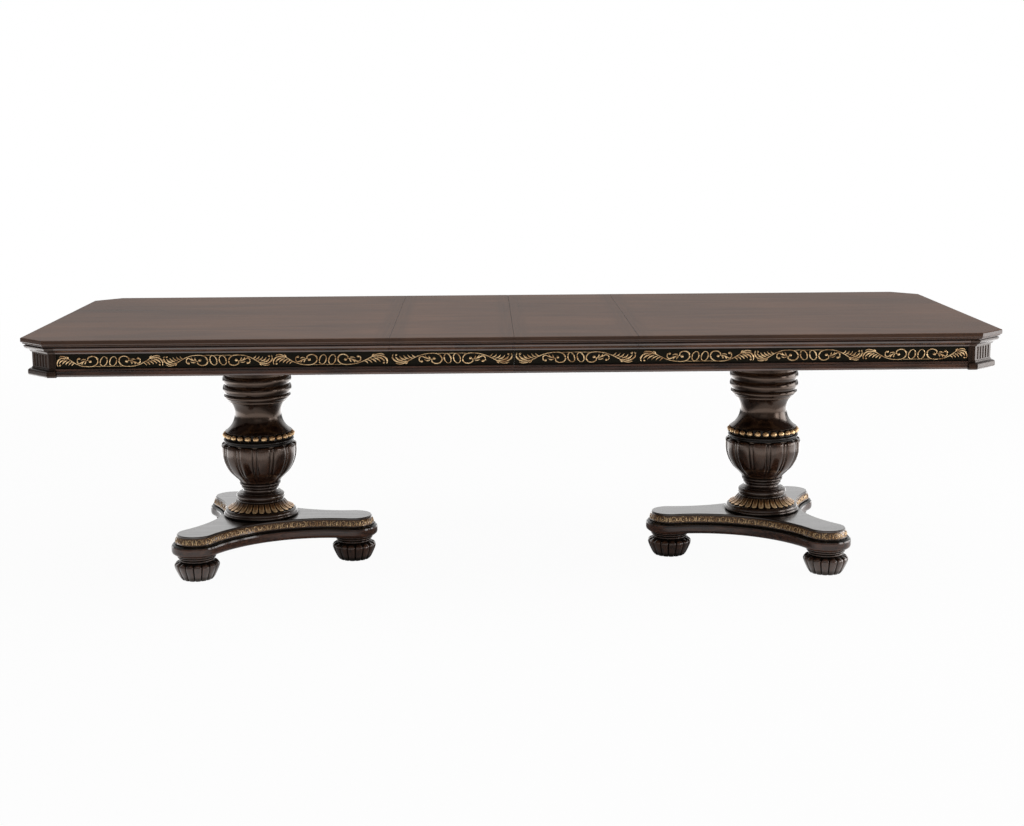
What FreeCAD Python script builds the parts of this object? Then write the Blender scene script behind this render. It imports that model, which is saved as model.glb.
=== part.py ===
"""Double pedestal dining table with two loose leaves, drawn open to its full length.

Millimetres. The origin is on the floor at the table's middle, +X runs along the length,
-Y is the front and +Z is up.
"""

import FreeCAD, Part
import math
import os

from FreeCAD import Vector

# Table top
TABLE_LENGTH = 2845.0
TABLE_WIDTH = 1118.0
TABLE_HEIGHT = 785.0
CORNER_CUT = 80.0
LEAF_LENGTH = 355.6
SEAM_GAP = 0.4
SEAM_ARRIS = 0.8
SLAB_THICKNESS = 14.5
SLAB_ROUNDING = 4.0
BEAD_HEIGHT = 4.0
BEAD_ROUNDING = 1.9
BEAD_INSET = 5.0
CORE_INSET = 13.0
BOARD_THICKNESS = 22.5

# Apron, with each inset measured from the edge of the top
OGEE_INSET = 8.0
OGEE_FOOT_INSET = 25.0
OGEE_HEIGHT = 19.0
OGEE_LIP = 2.0
FRIEZE_INSET = 33.0
FRIEZE_HEIGHT = 44.0
FILLET_INSET = 27.0
FILLET_HEIGHT = 5.0
BASE_MOULDING_INSET = 23.0
BASE_MOULDING_HEIGHT = 18.0
APRON_BACK_INSET = 52.0

# Corner posts
POST_RETURN = 32.0
POST_FACE_INSET = 29.0
POST_BASE_INSET = 16.0
POST_DROP = 1.5
FLUTE_COUNT = 5
FLUTE_PITCH = 15.0
FLUTE_RADIUS = 5.0
FLUTE_DEPTH = 2.5
FLUTE_MARGIN = 4.0

# Pedestals
PEDESTAL_OFFSET = 810.0
LEFT_COLUMN_TURN = -4.5
RIGHT_COLUMN_TURN = 2.4
URN_TURN = 6.9
FOOT_CIRCLE = 300.0
LOBE_RADIUS = 58.0
HOLLOW_RADIUS = 375.0
FOOT_LOBES = 16
URN_LOBES = 13
URN_LOBE_SHARE = 0.76
SKIRT_PETALS = 28
FOOT_HEIGHT = 81.0
BUN_HEIGHT = 57.0
PLINTH_STEP = 113.0
PLINTH_HEIGHT = 143.0
SKIRT_FOOT = 167.0
SKIRT_HEAD = 191.0
URN_FOOT = 254.0
URN_HEAD = 380.0
BEAD_RING_HEAD = 418.0
VASE_HEAD = 541.0
SPIGOT_RADIUS = 12.0
SPIGOT_LENGTH = 25.0
SPIGOT_CLEARANCE = 0.1

# Mounting block, bearers and bolts
BLOCK_LENGTH = 360.0
BLOCK_WIDTH = 300.0
BLOCK_THICKNESS = 30.0
BLOCK_CORNER = 40.0
BLOCK_EDGE = 6.0
BEARER_OFFSET = 140.0
BEARER_THICKNESS = 44.0
BEARER_HALF_LENGTH = 480.0
BEARER_TAPER = 60.0
BEARER_TIP = 25.0
BEARER_DEPTH = 70.0
BOLT_ROW = 105.0
BOLT_RADIUS = 4.0
BOLT_HOLE_RADIUS = 4.2
BOLT_REACH = 30.0
BOLT_FLANGE_RADIUS = 9.0
BOLT_FLANGE_HEIGHT = 2.0
BOLT_HEAD_ACROSS = 13.0
BOLT_HEAD_HEIGHT = 6.0

# Tie rod
ROD_RADIUS = 5.0
ROD_BORE_RADIUS = 5.5
RECESS_RADIUS = 16.0
RECESS_DEPTH = 14.0
WASHER_RADIUS = 13.0
WASHER_THICKNESS = 2.0
NUT_ACROSS = 17.0
NUT_HEIGHT = 8.0
ROD_END = 2.0

# Extension slides
RAIL_DEPTH = 45.0
SLIDE_CLEARANCE = 0.4
RAIL_INNER_FACE = 240.0
RAIL_THICKNESS = 20.0
RAIL_LENGTH = 1100.0
RAIL_OVERHANG = 50.0
TONGUE_DEPTH = 8.0
TONGUE_NECK = 12.0
TONGUE_EDGE = 16.0
CROSS_BAR_WIDTH = 60.0
CROSS_BAR_HEIGHT = 15.0

# Leaf battens
BATTEN_OFFSET = 110.0
BATTEN_WIDTH = 50.0
BATTEN_HEIGHT = 18.0
BATTEN_HALF_LENGTH = 215.0

# Leaf locks
LOCK_ROW = 420.0
LOCK_REACH = 24.0
LOCK_PLATE_LENGTH = 34.0
LOCK_PLATE_WIDTH = 28.0
LOCK_PLATE_THICKNESS = 3.0
PIN_RADIUS = 4.0
PIN_BORE_RADIUS = 4.06
PIN_COLLAR_RADIUS = 7.0
PIN_COLLAR_HEIGHT = 2.6
PIN_LENGTH = 11.0
PIN_HEAD_HEIGHT = 3.6
LEVER_GAP = 3.0
LEVER_THICKNESS = 4.0
LEVER_EYE_RADIUS = 11.0
LEVER_ARM_WIDTH = 14.0
LEVER_HOOK_RADIUS = 13.0
LEVER_SLOT_CLEARANCE = 0.4
LEVER_KNOB_RADIUS = 6.0
LEVER_KNOB_HEIGHT = 8.0

# Heights and places that follow from the sizes above
BOARD_FOOT = TABLE_HEIGHT - BOARD_THICKNESS
FRIEZE_HEAD = BOARD_FOOT - OGEE_HEIGHT
FRIEZE_FOOT = FRIEZE_HEAD - FRIEZE_HEIGHT
FILLET_FOOT = FRIEZE_FOOT - FILLET_HEIGHT
APRON_FOOT = FILLET_FOOT - BASE_MOULDING_HEIGHT
HALF_LENGTH = TABLE_LENGTH / 2
HALF_WIDTH = TABLE_WIDTH / 2
POST_END = CORNER_CUT + POST_RETURN
POST_FOOT = APRON_FOOT - POST_DROP
SLIDE_HEAD = BOARD_FOOT - SLIDE_CLEARANCE
SLIDE_FOOT = BOARD_FOOT - RAIL_DEPTH
BLOCK_HEAD = BOARD_FOOT - BEARER_DEPTH
COLLAR_HEAD = BLOCK_HEAD - BLOCK_THICKNESS
RAIL_STEP = RAIL_THICKNESS + SLIDE_CLEARANCE
LOCK_PLATE_FOOT = BOARD_FOOT - LOCK_PLATE_THICKNESS
LEVER_HEAD = LOCK_PLATE_FOOT - LEVER_GAP
MITRE = math.tan(math.radians(22.5))
UP = Vector(0, 0, 1)


def polar(radius, degrees, height=0.0):
    angle = math.radians(degrees)
    return Vector(radius * math.cos(angle), radius * math.sin(angle), height)


def turn_about_z(shape, degrees):
    turned_shape = shape.copy()
    turned_shape.rotate(Vector(0, 0, 0), UP, degrees)
    return turned_shape


def box(low, high):
    size = high - low
    return Part.makeBox(size.x, size.y, size.z, low)


def cylinder(radius, foot, head, x=0.0, y=0.0):
    return Part.makeCylinder(radius, head - foot, Vector(x, y, foot))


def hexagon_prism(across_flats, foot, head, x=0.0, y=0.0):
    corner = across_flats / math.sqrt(3)
    points = [polar(corner, 60 * k, foot) + Vector(x, y, 0) for k in range(7)]
    return Part.Face(Part.makePolygon(points)).extrude(UP * (head - foot))


def fuse(shapes):
    return shapes[0].fuse(shapes[1:]).removeSplitter()


def section_edges(points):
    """Edges in the XZ plane through (x, z, bulge): a bulge arcs the stretch that ends there."""
    edges = []
    for (x0, z0, _), (x1, z1, bulge) in zip(points, points[1:]):
        start = Vector(x0, 0, z0)
        end = Vector(x1, 0, z1)
        if bulge:
            chord = end - start
            side = Vector(chord.z, 0, -chord.x).normalize()
            middle = (start + end) * 0.5 + side * bulge
            edges.append(Part.Arc(start, middle, end).toShape())
        else:
            edges.append(Part.LineSegment(start, end).toShape())
    return edges


def section_face(points):
    closed = list(points) + [(points[0][0], points[0][1], 0)]
    return Part.Face(Part.Wire(section_edges(closed)))


def turned(outline, bore=ROD_BORE_RADIUS):
    """A turning about Z: its outline runs upwards, and an axial bore takes the tie rod."""
    foot = outline[0][1]
    head = outline[-1][1]
    face = section_face([(bore, foot, 0)] + outline + [(bore, head, 0)])
    return face.revolve(Vector(0, 0, 0), UP, 360)


def scalloped_wire(radius, height, count, groove, share=1.0):
    """A closed ring of bulging lobes, with a narrow reed between them where share is under 1."""
    pitch = 360.0 / count
    edges = []
    for k in range(count):
        start = (k - share / 2) * pitch
        stops = [(start, start + share * pitch, radius)]
        if share < 1.0:
            stops.append((start + share * pitch, start + pitch, radius - groove / 2))
        for first, last, crown in stops:
            edge = Part.Arc(
                polar(radius - groove, first, height),
                polar(crown, (first + last) / 2, height),
                polar(radius - groove, last, height),
            )
            edges.append(edge.toShape())
    return Part.Wire(edges)


def gadrooned(outline, count, groove_share, share=1.0):
    """A carved body through (radius, height) with lobes whose depth follows the radius."""
    wires = [scalloped_wire(r, z, count, groove_share * r, share) for r, z in outline]
    return Part.makeLoft(wires, True, False)


# Table top boards


def octagon(inset, height):
    """The outline of the top, with canted corners, drawn in by an inset."""
    x = HALF_LENGTH - inset
    y = HALF_WIDTH - inset
    cut = CORNER_CUT - inset * (1 - MITRE)
    cut_x = x - cut
    cut_y = y - cut
    corners = [(cut_x, -y), (x, -cut_y), (x, cut_y), (cut_x, y),
               (-cut_x, y), (-x, cut_y), (-x, -cut_y), (-cut_x, -y)]
    points = [Vector(a, b, height) for a, b in corners]
    return Part.makePolygon(points + points[:1])


def octagon_board(inset, foot, head, rounding=0.0):
    board = Part.Face(octagon(inset, foot)).extrude(UP * (head - foot))
    if rounding:
        level = [edge for edge in board.Edges if edge.BoundBox.ZLength < rounding]
        board = board.makeFillet(rounding, level)
    return board


def moulded_top():
    slab_foot = TABLE_HEIGHT - SLAB_THICKNESS
    bead_foot = slab_foot - BEAD_HEIGHT
    slab = octagon_board(0, slab_foot, TABLE_HEIGHT, SLAB_ROUNDING)
    bead = octagon_board(BEAD_INSET, bead_foot, slab_foot, BEAD_ROUNDING)
    core = octagon_board(CORE_INSET, BOARD_FOOT, slab_foot)
    whole = fuse([slab, bead, core])
    return whole.cut([seam_groove(x) for x in (-LEAF_LENGTH, 0, LEAF_LENGTH)])


def seam_groove(x):
    """The V that the two arrises leave along a seam."""
    reach = SEAM_ARRIS + SEAM_GAP / 2
    points = [
        Vector(x - reach, -TABLE_WIDTH, TABLE_HEIGHT),
        Vector(x, -TABLE_WIDTH, TABLE_HEIGHT - reach),
        Vector(x + reach, -TABLE_WIDTH, TABLE_HEIGHT),
    ]
    section = Part.Face(Part.makePolygon(points + points[:1]))
    return section.extrude(Vector(0, 2 * TABLE_WIDTH, 0))


def board(whole_top, low_x, high_x):
    """One board of the top between two seams."""
    low = Vector(low_x, -TABLE_WIDTH, BOARD_FOOT - BOARD_THICKNESS)
    high = Vector(high_x, TABLE_WIDTH, TABLE_HEIGHT + BOARD_THICKNESS)
    return whole_top.common(box(low, high))


# Aprons and corner posts


def apron_outline(face_inset=FRIEZE_INSET, base_inset=BASE_MOULDING_INSET, foot=APRON_FOOT):
    """Cross-section of the apron in (inset, height), from its inner top corner outwards."""
    ogee_head = BOARD_FOOT - OGEE_LIP
    ogee_middle_inset = (OGEE_INSET + OGEE_FOOT_INSET) / 2
    ogee_middle = (ogee_head + FRIEZE_HEAD) / 2
    ogee_bulge = 1.6
    moulding_rounding = 6.0
    corner_bulge = 1.75
    return [
        (APRON_BACK_INSET, BOARD_FOOT, 0),
        (OGEE_INSET, BOARD_FOOT, 0),
        (OGEE_INSET, ogee_head, 0),
        (ogee_middle_inset, ogee_middle, ogee_bulge),
        (OGEE_FOOT_INSET, FRIEZE_HEAD, -ogee_bulge),
        (face_inset, FRIEZE_HEAD, 0),
        (face_inset, FRIEZE_FOOT, 0),
        (FILLET_INSET, FRIEZE_FOOT, 0),
        (FILLET_INSET, FILLET_FOOT, 0),
        (base_inset + moulding_rounding, FILLET_FOOT, 0),
        (base_inset, FILLET_FOOT - moulding_rounding, corner_bulge),
        (base_inset, foot + moulding_rounding, 0),
        (base_inset + moulding_rounding, foot, corner_bulge),
        (APRON_BACK_INSET, foot, 0),
    ]


def end_section(outline):
    """The apron's section laid across the left end, with its inset measured from that end."""
    face = section_face(outline)
    face.translate(Vector(-HALF_LENGTH, 0, 0))
    return face


def front_section(outline):
    """The apron's section laid across the front, facing -Y."""
    face = turn_about_z(section_face(outline), 90)
    face.translate(Vector(0, -HALF_WIDTH, 0))
    return face


def front_apron(low_x, high_x):
    section = front_section(apron_outline())
    section.translate(Vector(low_x, 0, 0))
    return section.extrude(Vector(high_x - low_x, 0, 0))


def back_apron(low_x, high_x):
    return turn_about_z(front_apron(-high_x, -low_x), 180)


def end_apron(side):
    half_span = HALF_WIDTH - POST_END
    section = end_section(apron_outline())
    section.translate(Vector(0, -half_span, 0))
    left = section.extrude(Vector(0, 2 * half_span, 0))
    return left if side < 0 else turn_about_z(left, 180)


def corner_post():
    """The front left post: mouldings mitred round the cant, and flutes down its face."""
    path = Part.makePolygon([
        Vector(POST_END - HALF_LENGTH, -HALF_WIDTH, BOARD_FOOT),
        Vector(CORNER_CUT - HALF_LENGTH, -HALF_WIDTH, BOARD_FOOT),
        Vector(-HALF_LENGTH, CORNER_CUT - HALF_WIDTH, BOARD_FOOT),
        Vector(-HALF_LENGTH, POST_END - HALF_WIDTH, BOARD_FOOT),
    ])
    section = front_section(apron_outline(POST_FACE_INSET, POST_BASE_INSET, POST_FOOT))
    section.translate(Vector(POST_END - HALF_LENGTH, 0, 0))
    right_corners = 1
    post = path.makePipeShell([section.OuterWire], True, False, right_corners)
    outward = Vector(-1, -1, 0).normalize()
    along = Vector(-1, 1, 0).normalize()
    cant_middle = Vector(CORNER_CUT / 2 - HALF_LENGTH, CORNER_CUT / 2 - HALF_WIDTH, 0)
    face_middle = cant_middle - outward * POST_FACE_INSET
    flutes = []
    for k in range(FLUTE_COUNT):
        place = face_middle + along * (FLUTE_PITCH * (k - (FLUTE_COUNT - 1) / 2))
        place += outward * (FLUTE_RADIUS - FLUTE_DEPTH)
        flutes.append(cylinder(FLUTE_RADIUS, FRIEZE_FOOT + FLUTE_MARGIN,
                               FRIEZE_HEAD - FLUTE_MARGIN, place.x, place.y))
    return post.cut(flutes)


def corner_posts(side):
    front = corner_post()
    back = front.mirror(Vector(0, 0, 0), Vector(0, 1, 0))
    pair = Part.makeCompound([front, back])
    return pair if side < 0 else turn_about_z(pair, 180)


# Pedestal


def triform_wire(offset, height):
    """Three round lobes joined by hollow arcs, each arc concentric at every offset."""
    lobe = LOBE_RADIUS + offset
    hollow = HOLLOW_RADIUS - offset
    reach = LOBE_RADIUS + HOLLOW_RADIUS
    half_circle = FOOT_CIRCLE / 2
    hollow_centre = half_circle + math.sqrt(reach**2 - FOOT_CIRCLE**2 + half_circle**2)
    lobe_centre = polar(FOOT_CIRCLE, 0)
    towards = polar(hollow_centre, 60) - lobe_centre
    contact = math.degrees(math.atan2(towards.y, towards.x))
    edges = []
    for k in range(3):
        turn = 120 * k
        centre = polar(FOOT_CIRCLE, turn, height)
        first, early, tip, late, last = [
            centre + polar(lobe, turn + share * contact) for share in (-1, -0.5, 0, 0.5, 1)
        ]
        waist = polar(hollow_centre - hollow, turn + 60, height)
        following = polar(FOOT_CIRCLE, turn + 120, height) + polar(lobe, turn + 120 - contact)
        edges.append(Part.Arc(first, early, tip).toShape())
        edges.append(Part.Arc(tip, late, last).toShape())
        edges.append(Part.Arc(last, waist, following).toShape())
    return Part.Wire(edges)


def triform(levels):
    """A three-lobed body through (height, offset) levels, each stretch ruled."""
    return Part.makeLoft([triform_wire(offset, z) for z, offset in levels], True, True)


def plinth_base():
    """Lower plinth with a rounded edge, sockets for the feet and a recess for the rod's nut."""
    body = triform([(FOOT_HEIGHT, 12), (FOOT_HEIGHT + 4, 16.5), (FOOT_HEIGHT + 9, 18),
                    (PLINTH_STEP - 9, 18), (PLINTH_STEP - 4, 16.5), (PLINTH_STEP, 12)])
    cutters = [
        cylinder(ROD_BORE_RADIUS, FOOT_HEIGHT, PLINTH_STEP),
        cylinder(RECESS_RADIUS, FOOT_HEIGHT, FOOT_HEIGHT + RECESS_DEPTH),
    ]
    for k in range(3):
        place = polar(FOOT_CIRCLE, 120 * k)
        socket_head = FOOT_HEIGHT + SPIGOT_LENGTH + 1
        cutters.append(cylinder(SPIGOT_RADIUS + SPIGOT_CLEARANCE, FOOT_HEIGHT, socket_head,
                                place.x, place.y))
    return body.cut(cutters)


def plinth_top():
    """Upper plinth: a quirk, a hollow band for the carving and a small rounded rim."""
    body = triform([(PLINTH_STEP, 5), (PLINTH_STEP + 3, 5), (PLINTH_STEP + 3.5, 6.5),
                    (PLINTH_STEP + 10, 5.5), (PLINTH_STEP + 18, 2.5), (PLINTH_HEIGHT - 6, -0.5),
                    (PLINTH_HEIGHT - 5, 0.5), (PLINTH_HEIGHT - 2, 0.5), (PLINTH_HEIGHT, -1.5)])
    return body.cut(cylinder(ROD_BORE_RADIUS, PLINTH_STEP, PLINTH_HEIGHT))


def foot():
    """Gadrooned bun, turned neck and the spigot that sits in the plinth."""
    bun = gadrooned([(49, 0), (55, 8), (62, 22), (67.5, 35), (69.5, 44), (66, 51), (57, BUN_HEIGHT)],
                    FOOT_LOBES, 0.05)
    spigot_head = FOOT_HEIGHT + SPIGOT_LENGTH
    neck = section_face([
        (0, BUN_HEIGHT, 0), (51, BUN_HEIGHT, 0), (51, 65, 3.5), (54, 66, 0), (56, 67, 0),
        (56, 73, 3), (59, 74, 0), (61, 75, 0), (61, FOOT_HEIGHT, 3),
        (SPIGOT_RADIUS, FOOT_HEIGHT, 0), (SPIGOT_RADIUS, spigot_head, 0), (0, spigot_head, 0),
    ]).revolve(Vector(0, 0, 0), UP, 360)
    piece = fuse([bun, neck])
    piece.translate(Vector(FOOT_CIRCLE, 0, 0))
    return piece


def stem():
    """Disc, petal skirt, torus and neck below the urn."""
    disc = turned([(114, PLINTH_HEIGHT, 0), (114, 155, 4.5), (103, SKIRT_FOOT - 2, 3.5),
                   (98, SKIRT_FOOT - 2, 0), (98, SKIRT_FOOT, 0)])
    skirt = gadrooned([(106, SKIRT_FOOT), (96.5, 171), (87, 177), (79.5, 185), (76, SKIRT_HEAD)],
                      SKIRT_PETALS, 0.025)
    bore = cylinder(ROD_BORE_RADIUS, SKIRT_FOOT, SKIRT_HEAD)
    neck = turned([(72, SKIRT_HEAD, 0), (72, 195, 0), (70, 196, 0), (70, 216, 7), (60, 219, 0),
                   (55, 227, -1.5), (58, 233, -1), (58, 241, 3), (61, 243, 0), (61, 252, 5),
                   (62, URN_FOOT, 0)])
    return fuse([disc, skirt.cut(bore), neck])


def urn():
    """Gadrooned bowl: broad lobes with a narrow reed between each two."""
    body = gadrooned([(65, URN_FOOT), (69.5, 261), (80, 271), (95, 286), (106, 303), (113.5, 319),
                      (118.5, 336), (120.5, 352), (120.5, 366), (118, 375), (113, URN_HEAD)],
                     URN_LOBES, 0.035, URN_LOBE_SHARE)
    return body.cut(cylinder(ROD_BORE_RADIUS, URN_FOOT, URN_HEAD))


def bead_ring():
    """Ring between two small fillets, which carries the row of beads."""
    return turned([(106, URN_HEAD, 0), (106, 385, 0), (109.5, 386, 0), (109.5, 394, 1.8),
                   (105, 395, 0), (105, 417, 9), (106, BEAD_RING_HEAD, 0)])


def vase():
    """Waisted turning between the bead ring and the collar."""
    return turned([(106, BEAD_RING_HEAD, 0), (91, 515, -23.6), (96.5, 524, -2),
                   (101, 524, 0), (101, VASE_HEAD, 4)])


def collar():
    """Two broad rings that meet the mounting block."""
    return turned([(103, VASE_HEAD, 0), (103, 571, 5.5), (103, 601, 5.5), (103, 610, 0),
                   (112, 625, -3), (120, 632, 0), (120, COLLAR_HEAD, 0)])


def tie_rod():
    """Threaded rod with a washer and a nut at each end, in the plinth and the block."""
    low_seat = FOOT_HEIGHT + RECESS_DEPTH
    high_seat = BLOCK_HEAD - RECESS_DEPTH
    low_nut = low_seat - WASHER_THICKNESS
    high_nut = high_seat + WASHER_THICKNESS
    return fuse([
        cylinder(ROD_RADIUS, low_nut - NUT_HEIGHT - ROD_END, high_nut + NUT_HEIGHT + ROD_END),
        cylinder(WASHER_RADIUS, low_nut, low_seat),
        hexagon_prism(NUT_ACROSS, low_nut - NUT_HEIGHT, low_nut),
        cylinder(WASHER_RADIUS, high_seat, high_nut),
        hexagon_prism(NUT_ACROSS, high_nut, high_nut + NUT_HEIGHT),
    ])


# Under the top


def bolt_places():
    return [(x, y) for x in (-BEARER_OFFSET, BEARER_OFFSET) for y in (-BOLT_ROW, BOLT_ROW)]


def mounting_block():
    """Thick plate on the column's head, bored for the rod and the four bolts."""
    half = Vector(BLOCK_LENGTH / 2, BLOCK_WIDTH / 2, 0)
    plate = box(UP * COLLAR_HEAD - half, UP * BLOCK_HEAD + half)
    upright = [edge for edge in plate.Edges if edge.BoundBox.ZLength > 1]
    plate = plate.makeFillet(BLOCK_CORNER, upright)
    lower = [edge for edge in plate.Edges if edge.BoundBox.ZMax < COLLAR_HEAD + 0.01]
    plate = plate.makeFillet(BLOCK_EDGE, lower)
    cutters = [
        cylinder(ROD_BORE_RADIUS, COLLAR_HEAD, BLOCK_HEAD),
        cylinder(RECESS_RADIUS, BLOCK_HEAD - RECESS_DEPTH, BLOCK_HEAD),
    ]
    for x, y in bolt_places():
        cutters.append(cylinder(BOLT_HOLE_RADIUS, COLLAR_HEAD, BLOCK_HEAD, x, y))
    return plate.cut(cutters)


def mounting_bolts():
    bolts = []
    flange_foot = COLLAR_HEAD - BOLT_FLANGE_HEIGHT
    for x, y in bolt_places():
        bolts.append(fuse([
            cylinder(BOLT_RADIUS, flange_foot, BLOCK_HEAD + BOLT_REACH, x, y),
            cylinder(BOLT_FLANGE_RADIUS, flange_foot, COLLAR_HEAD, x, y),
            hexagon_prism(BOLT_HEAD_ACROSS, flange_foot - BOLT_HEAD_HEIGHT, flange_foot, x, y),
        ]))
    return Part.makeCompound(bolts)


def bearer(x):
    """Cross bearer with tapered ends, notched over the extension slides."""
    notch_low = RAIL_INNER_FACE - 2
    notch_high = RAIL_INNER_FACE + 4 * RAIL_STEP + 2
    tip = BOARD_FOOT - BEARER_TIP
    half = [
        (BEARER_HALF_LENGTH - BEARER_TAPER, BLOCK_HEAD),
        (BEARER_HALF_LENGTH, tip),
        (BEARER_HALF_LENGTH, BOARD_FOOT),
        (notch_high, BOARD_FOOT),
        (notch_high, SLIDE_FOOT),
        (notch_low, SLIDE_FOOT),
        (notch_low, BOARD_FOOT),
    ]
    outline = half + [(-y, z) for y, z in reversed(half)]
    face_x = x - BEARER_THICKNESS / 2
    points = [Vector(face_x, y, z) for y, z in outline + outline[:1]]
    body = Part.Face(Part.makePolygon(points)).extrude(Vector(BEARER_THICKNESS, 0, 0))
    holes = []
    for y in (-BOLT_ROW, BOLT_ROW):
        holes.append(cylinder(BOLT_HOLE_RADIUS, BLOCK_HEAD, BLOCK_HEAD + BOLT_REACH + 2, x, y))
    return body.cut(holes)


def bearers():
    return Part.makeCompound([bearer(-BEARER_OFFSET), bearer(BEARER_OFFSET)])


def battens(middle_x):
    pieces = []
    for offset in (-BATTEN_OFFSET, BATTEN_OFFSET):
        x = middle_x + offset
        low = Vector(x - BATTEN_WIDTH / 2, -BATTEN_HALF_LENGTH, BOARD_FOOT - BATTEN_HEIGHT)
        high = Vector(x + BATTEN_WIDTH / 2, BATTEN_HALF_LENGTH, BOARD_FOOT)
        pieces.append(box(low, high))
    return Part.makeCompound(pieces)


# Extension slides


def dovetail(face_y, clearance):
    """Half-section of the key that joins two rails, as (y, height from the middle)."""
    depth = TONGUE_DEPTH + clearance
    neck = TONGUE_NECK / 2 + clearance
    edge = TONGUE_EDGE / 2 + clearance
    return [(face_y, neck), (face_y + depth, edge)]


def rail(place, low_x, foot, tongue, groove):
    """One rail of the back slide: a groove on its inner face and a tongue on its outer one."""
    inner = RAIL_INNER_FACE + place * RAIL_STEP
    outer = inner + RAIL_THICKNESS
    middle = (SLIDE_FOOT + SLIDE_HEAD) / 2
    points = [(inner, SLIDE_HEAD), (outer, SLIDE_HEAD)]
    if tongue:
        upper = [(y, middle + h) for y, h in dovetail(outer, 0)]
        lower = [(y, middle - h) for y, h in reversed(dovetail(outer, 0))]
        points += upper + lower
    points += [(outer, foot), (inner, foot)]
    if groove:
        lower = [(y, middle - h) for y, h in dovetail(inner, SLIDE_CLEARANCE)]
        upper = [(y, middle + h) for y, h in reversed(dovetail(inner, SLIDE_CLEARANCE))]
        points += lower + upper
    vectors = [Vector(low_x, y, z) for y, z in points + points[:1]]
    return Part.Face(Part.makePolygon(vectors)).extrude(Vector(RAIL_LENGTH, 0, 0))


def rail_pair(place, low_x, foot):
    back = rail(place, low_x, foot, tongue=place < 3, groove=place > 0)
    front = back.mirror(Vector(0, 0, 0), Vector(0, 1, 0))
    return [front, back]


def half_rails(side):
    """The rails fixed to one half: the innermost on the left, the outermost on the right."""
    if side < 0:
        return Part.makeCompound(rail_pair(0, RAIL_OVERHANG - RAIL_LENGTH, SLIDE_FOOT))
    return Part.makeCompound(rail_pair(3, -RAIL_OVERHANG, SLIDE_FOOT))


def inner_slide(side):
    """The two inner rails that carry one leaf, with the bar that ties them together."""
    place = 1 if side < 0 else 2
    step = (RAIL_LENGTH - 2 * RAIL_OVERHANG) / 3
    low_x = RAIL_OVERHANG - RAIL_LENGTH + place * step
    foot = SLIDE_FOOT + SLIDE_CLEARANCE
    middle_x = low_x + RAIL_LENGTH / 2
    reach = RAIL_INNER_FACE + place * RAIL_STEP + RAIL_THICKNESS
    bar_head = SLIDE_FOOT - SLIDE_CLEARANCE
    low = Vector(middle_x - CROSS_BAR_WIDTH / 2, -reach, bar_head - CROSS_BAR_HEIGHT)
    high = Vector(middle_x + CROSS_BAR_WIDTH / 2, reach, bar_head)
    pieces = [box(low, high)]
    for sign in (-1, 1):
        inner = reach - RAIL_THICKNESS
        near = Vector(low.x, min(sign * inner, sign * reach), bar_head)
        far = Vector(high.x, max(sign * inner, sign * reach), foot)
        pieces.append(box(near, far))
    bar = fuse(pieces)
    return Part.makeCompound(rail_pair(place, low_x, foot) + [bar])


# Leaf locks


def lock_plate(x, y):
    half = Vector(LOCK_PLATE_LENGTH / 2, LOCK_PLATE_WIDTH / 2, 0)
    middle = Vector(x, y, 0)
    return box(middle - half + UP * LOCK_PLATE_FOOT, middle + half + UP * BOARD_FOOT)


def lock_pivot(x, y):
    """Plate with the shouldered pin that a lever turns on."""
    pin_foot = LOCK_PLATE_FOOT - PIN_LENGTH
    return fuse([
        lock_plate(x, y),
        cylinder(PIN_COLLAR_RADIUS, LOCK_PLATE_FOOT - PIN_COLLAR_HEIGHT, LOCK_PLATE_FOOT, x, y),
        cylinder(PIN_RADIUS, pin_foot, LOCK_PLATE_FOOT, x, y),
        cylinder(PIN_COLLAR_RADIUS, pin_foot, pin_foot + PIN_HEAD_HEIGHT, x, y),
    ])


def lock_stud(x, y):
    """Plate with the stud that a lever hooks over."""
    return fuse([
        lock_plate(x, y),
        cylinder(PIN_RADIUS, LOCK_PLATE_FOOT - PIN_LENGTH, LOCK_PLATE_FOOT, x, y),
    ])


def lock_fittings(places, make_fitting):
    return [make_fitting(x, y) for x in places for y in (-LOCK_ROW, LOCK_ROW)]


def lock_lever(pivot_x, pivot_y, towards):
    """Lever at rest, pointing to the table's middle line: it swings towards +X or -X to lock."""
    foot = LEVER_HEAD - LEVER_THICKNESS
    span = 2 * LOCK_REACH
    half_arm = LEVER_ARM_WIDTH / 2
    body = fuse([
        cylinder(LEVER_EYE_RADIUS, foot, LEVER_HEAD),
        cylinder(LEVER_HOOK_RADIUS, foot, LEVER_HEAD, span),
        box(Vector(0, -half_arm, foot), Vector(span, half_arm, LEVER_HEAD)),
        cylinder(LEVER_KNOB_RADIUS, foot - LEVER_KNOB_HEIGHT, foot, LOCK_REACH),
    ])
    half_slot = PIN_RADIUS + LEVER_SLOT_CLEARANCE
    slot = cylinder(span + half_slot, foot, LEVER_HEAD).cut(
        cylinder(span - half_slot, foot, LEVER_HEAD))
    slot = slot.common(box(Vector(0, 0, foot), Vector(2 * span, 2 * span, LEVER_HEAD)))
    hook_end = cylinder(half_slot, foot, LEVER_HEAD, span)
    lever = body.cut([slot, hook_end, cylinder(PIN_BORE_RADIUS, foot, LEVER_HEAD)])
    if towards * pivot_y < 0:
        lever = lever.mirror(Vector(0, 0, 0), Vector(0, 1, 0))
    lever.rotate(Vector(0, 0, 0), UP, 90 if pivot_y < 0 else -90)
    lever.translate(Vector(pivot_x, pivot_y, 0))
    return lever


# Assembly


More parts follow.
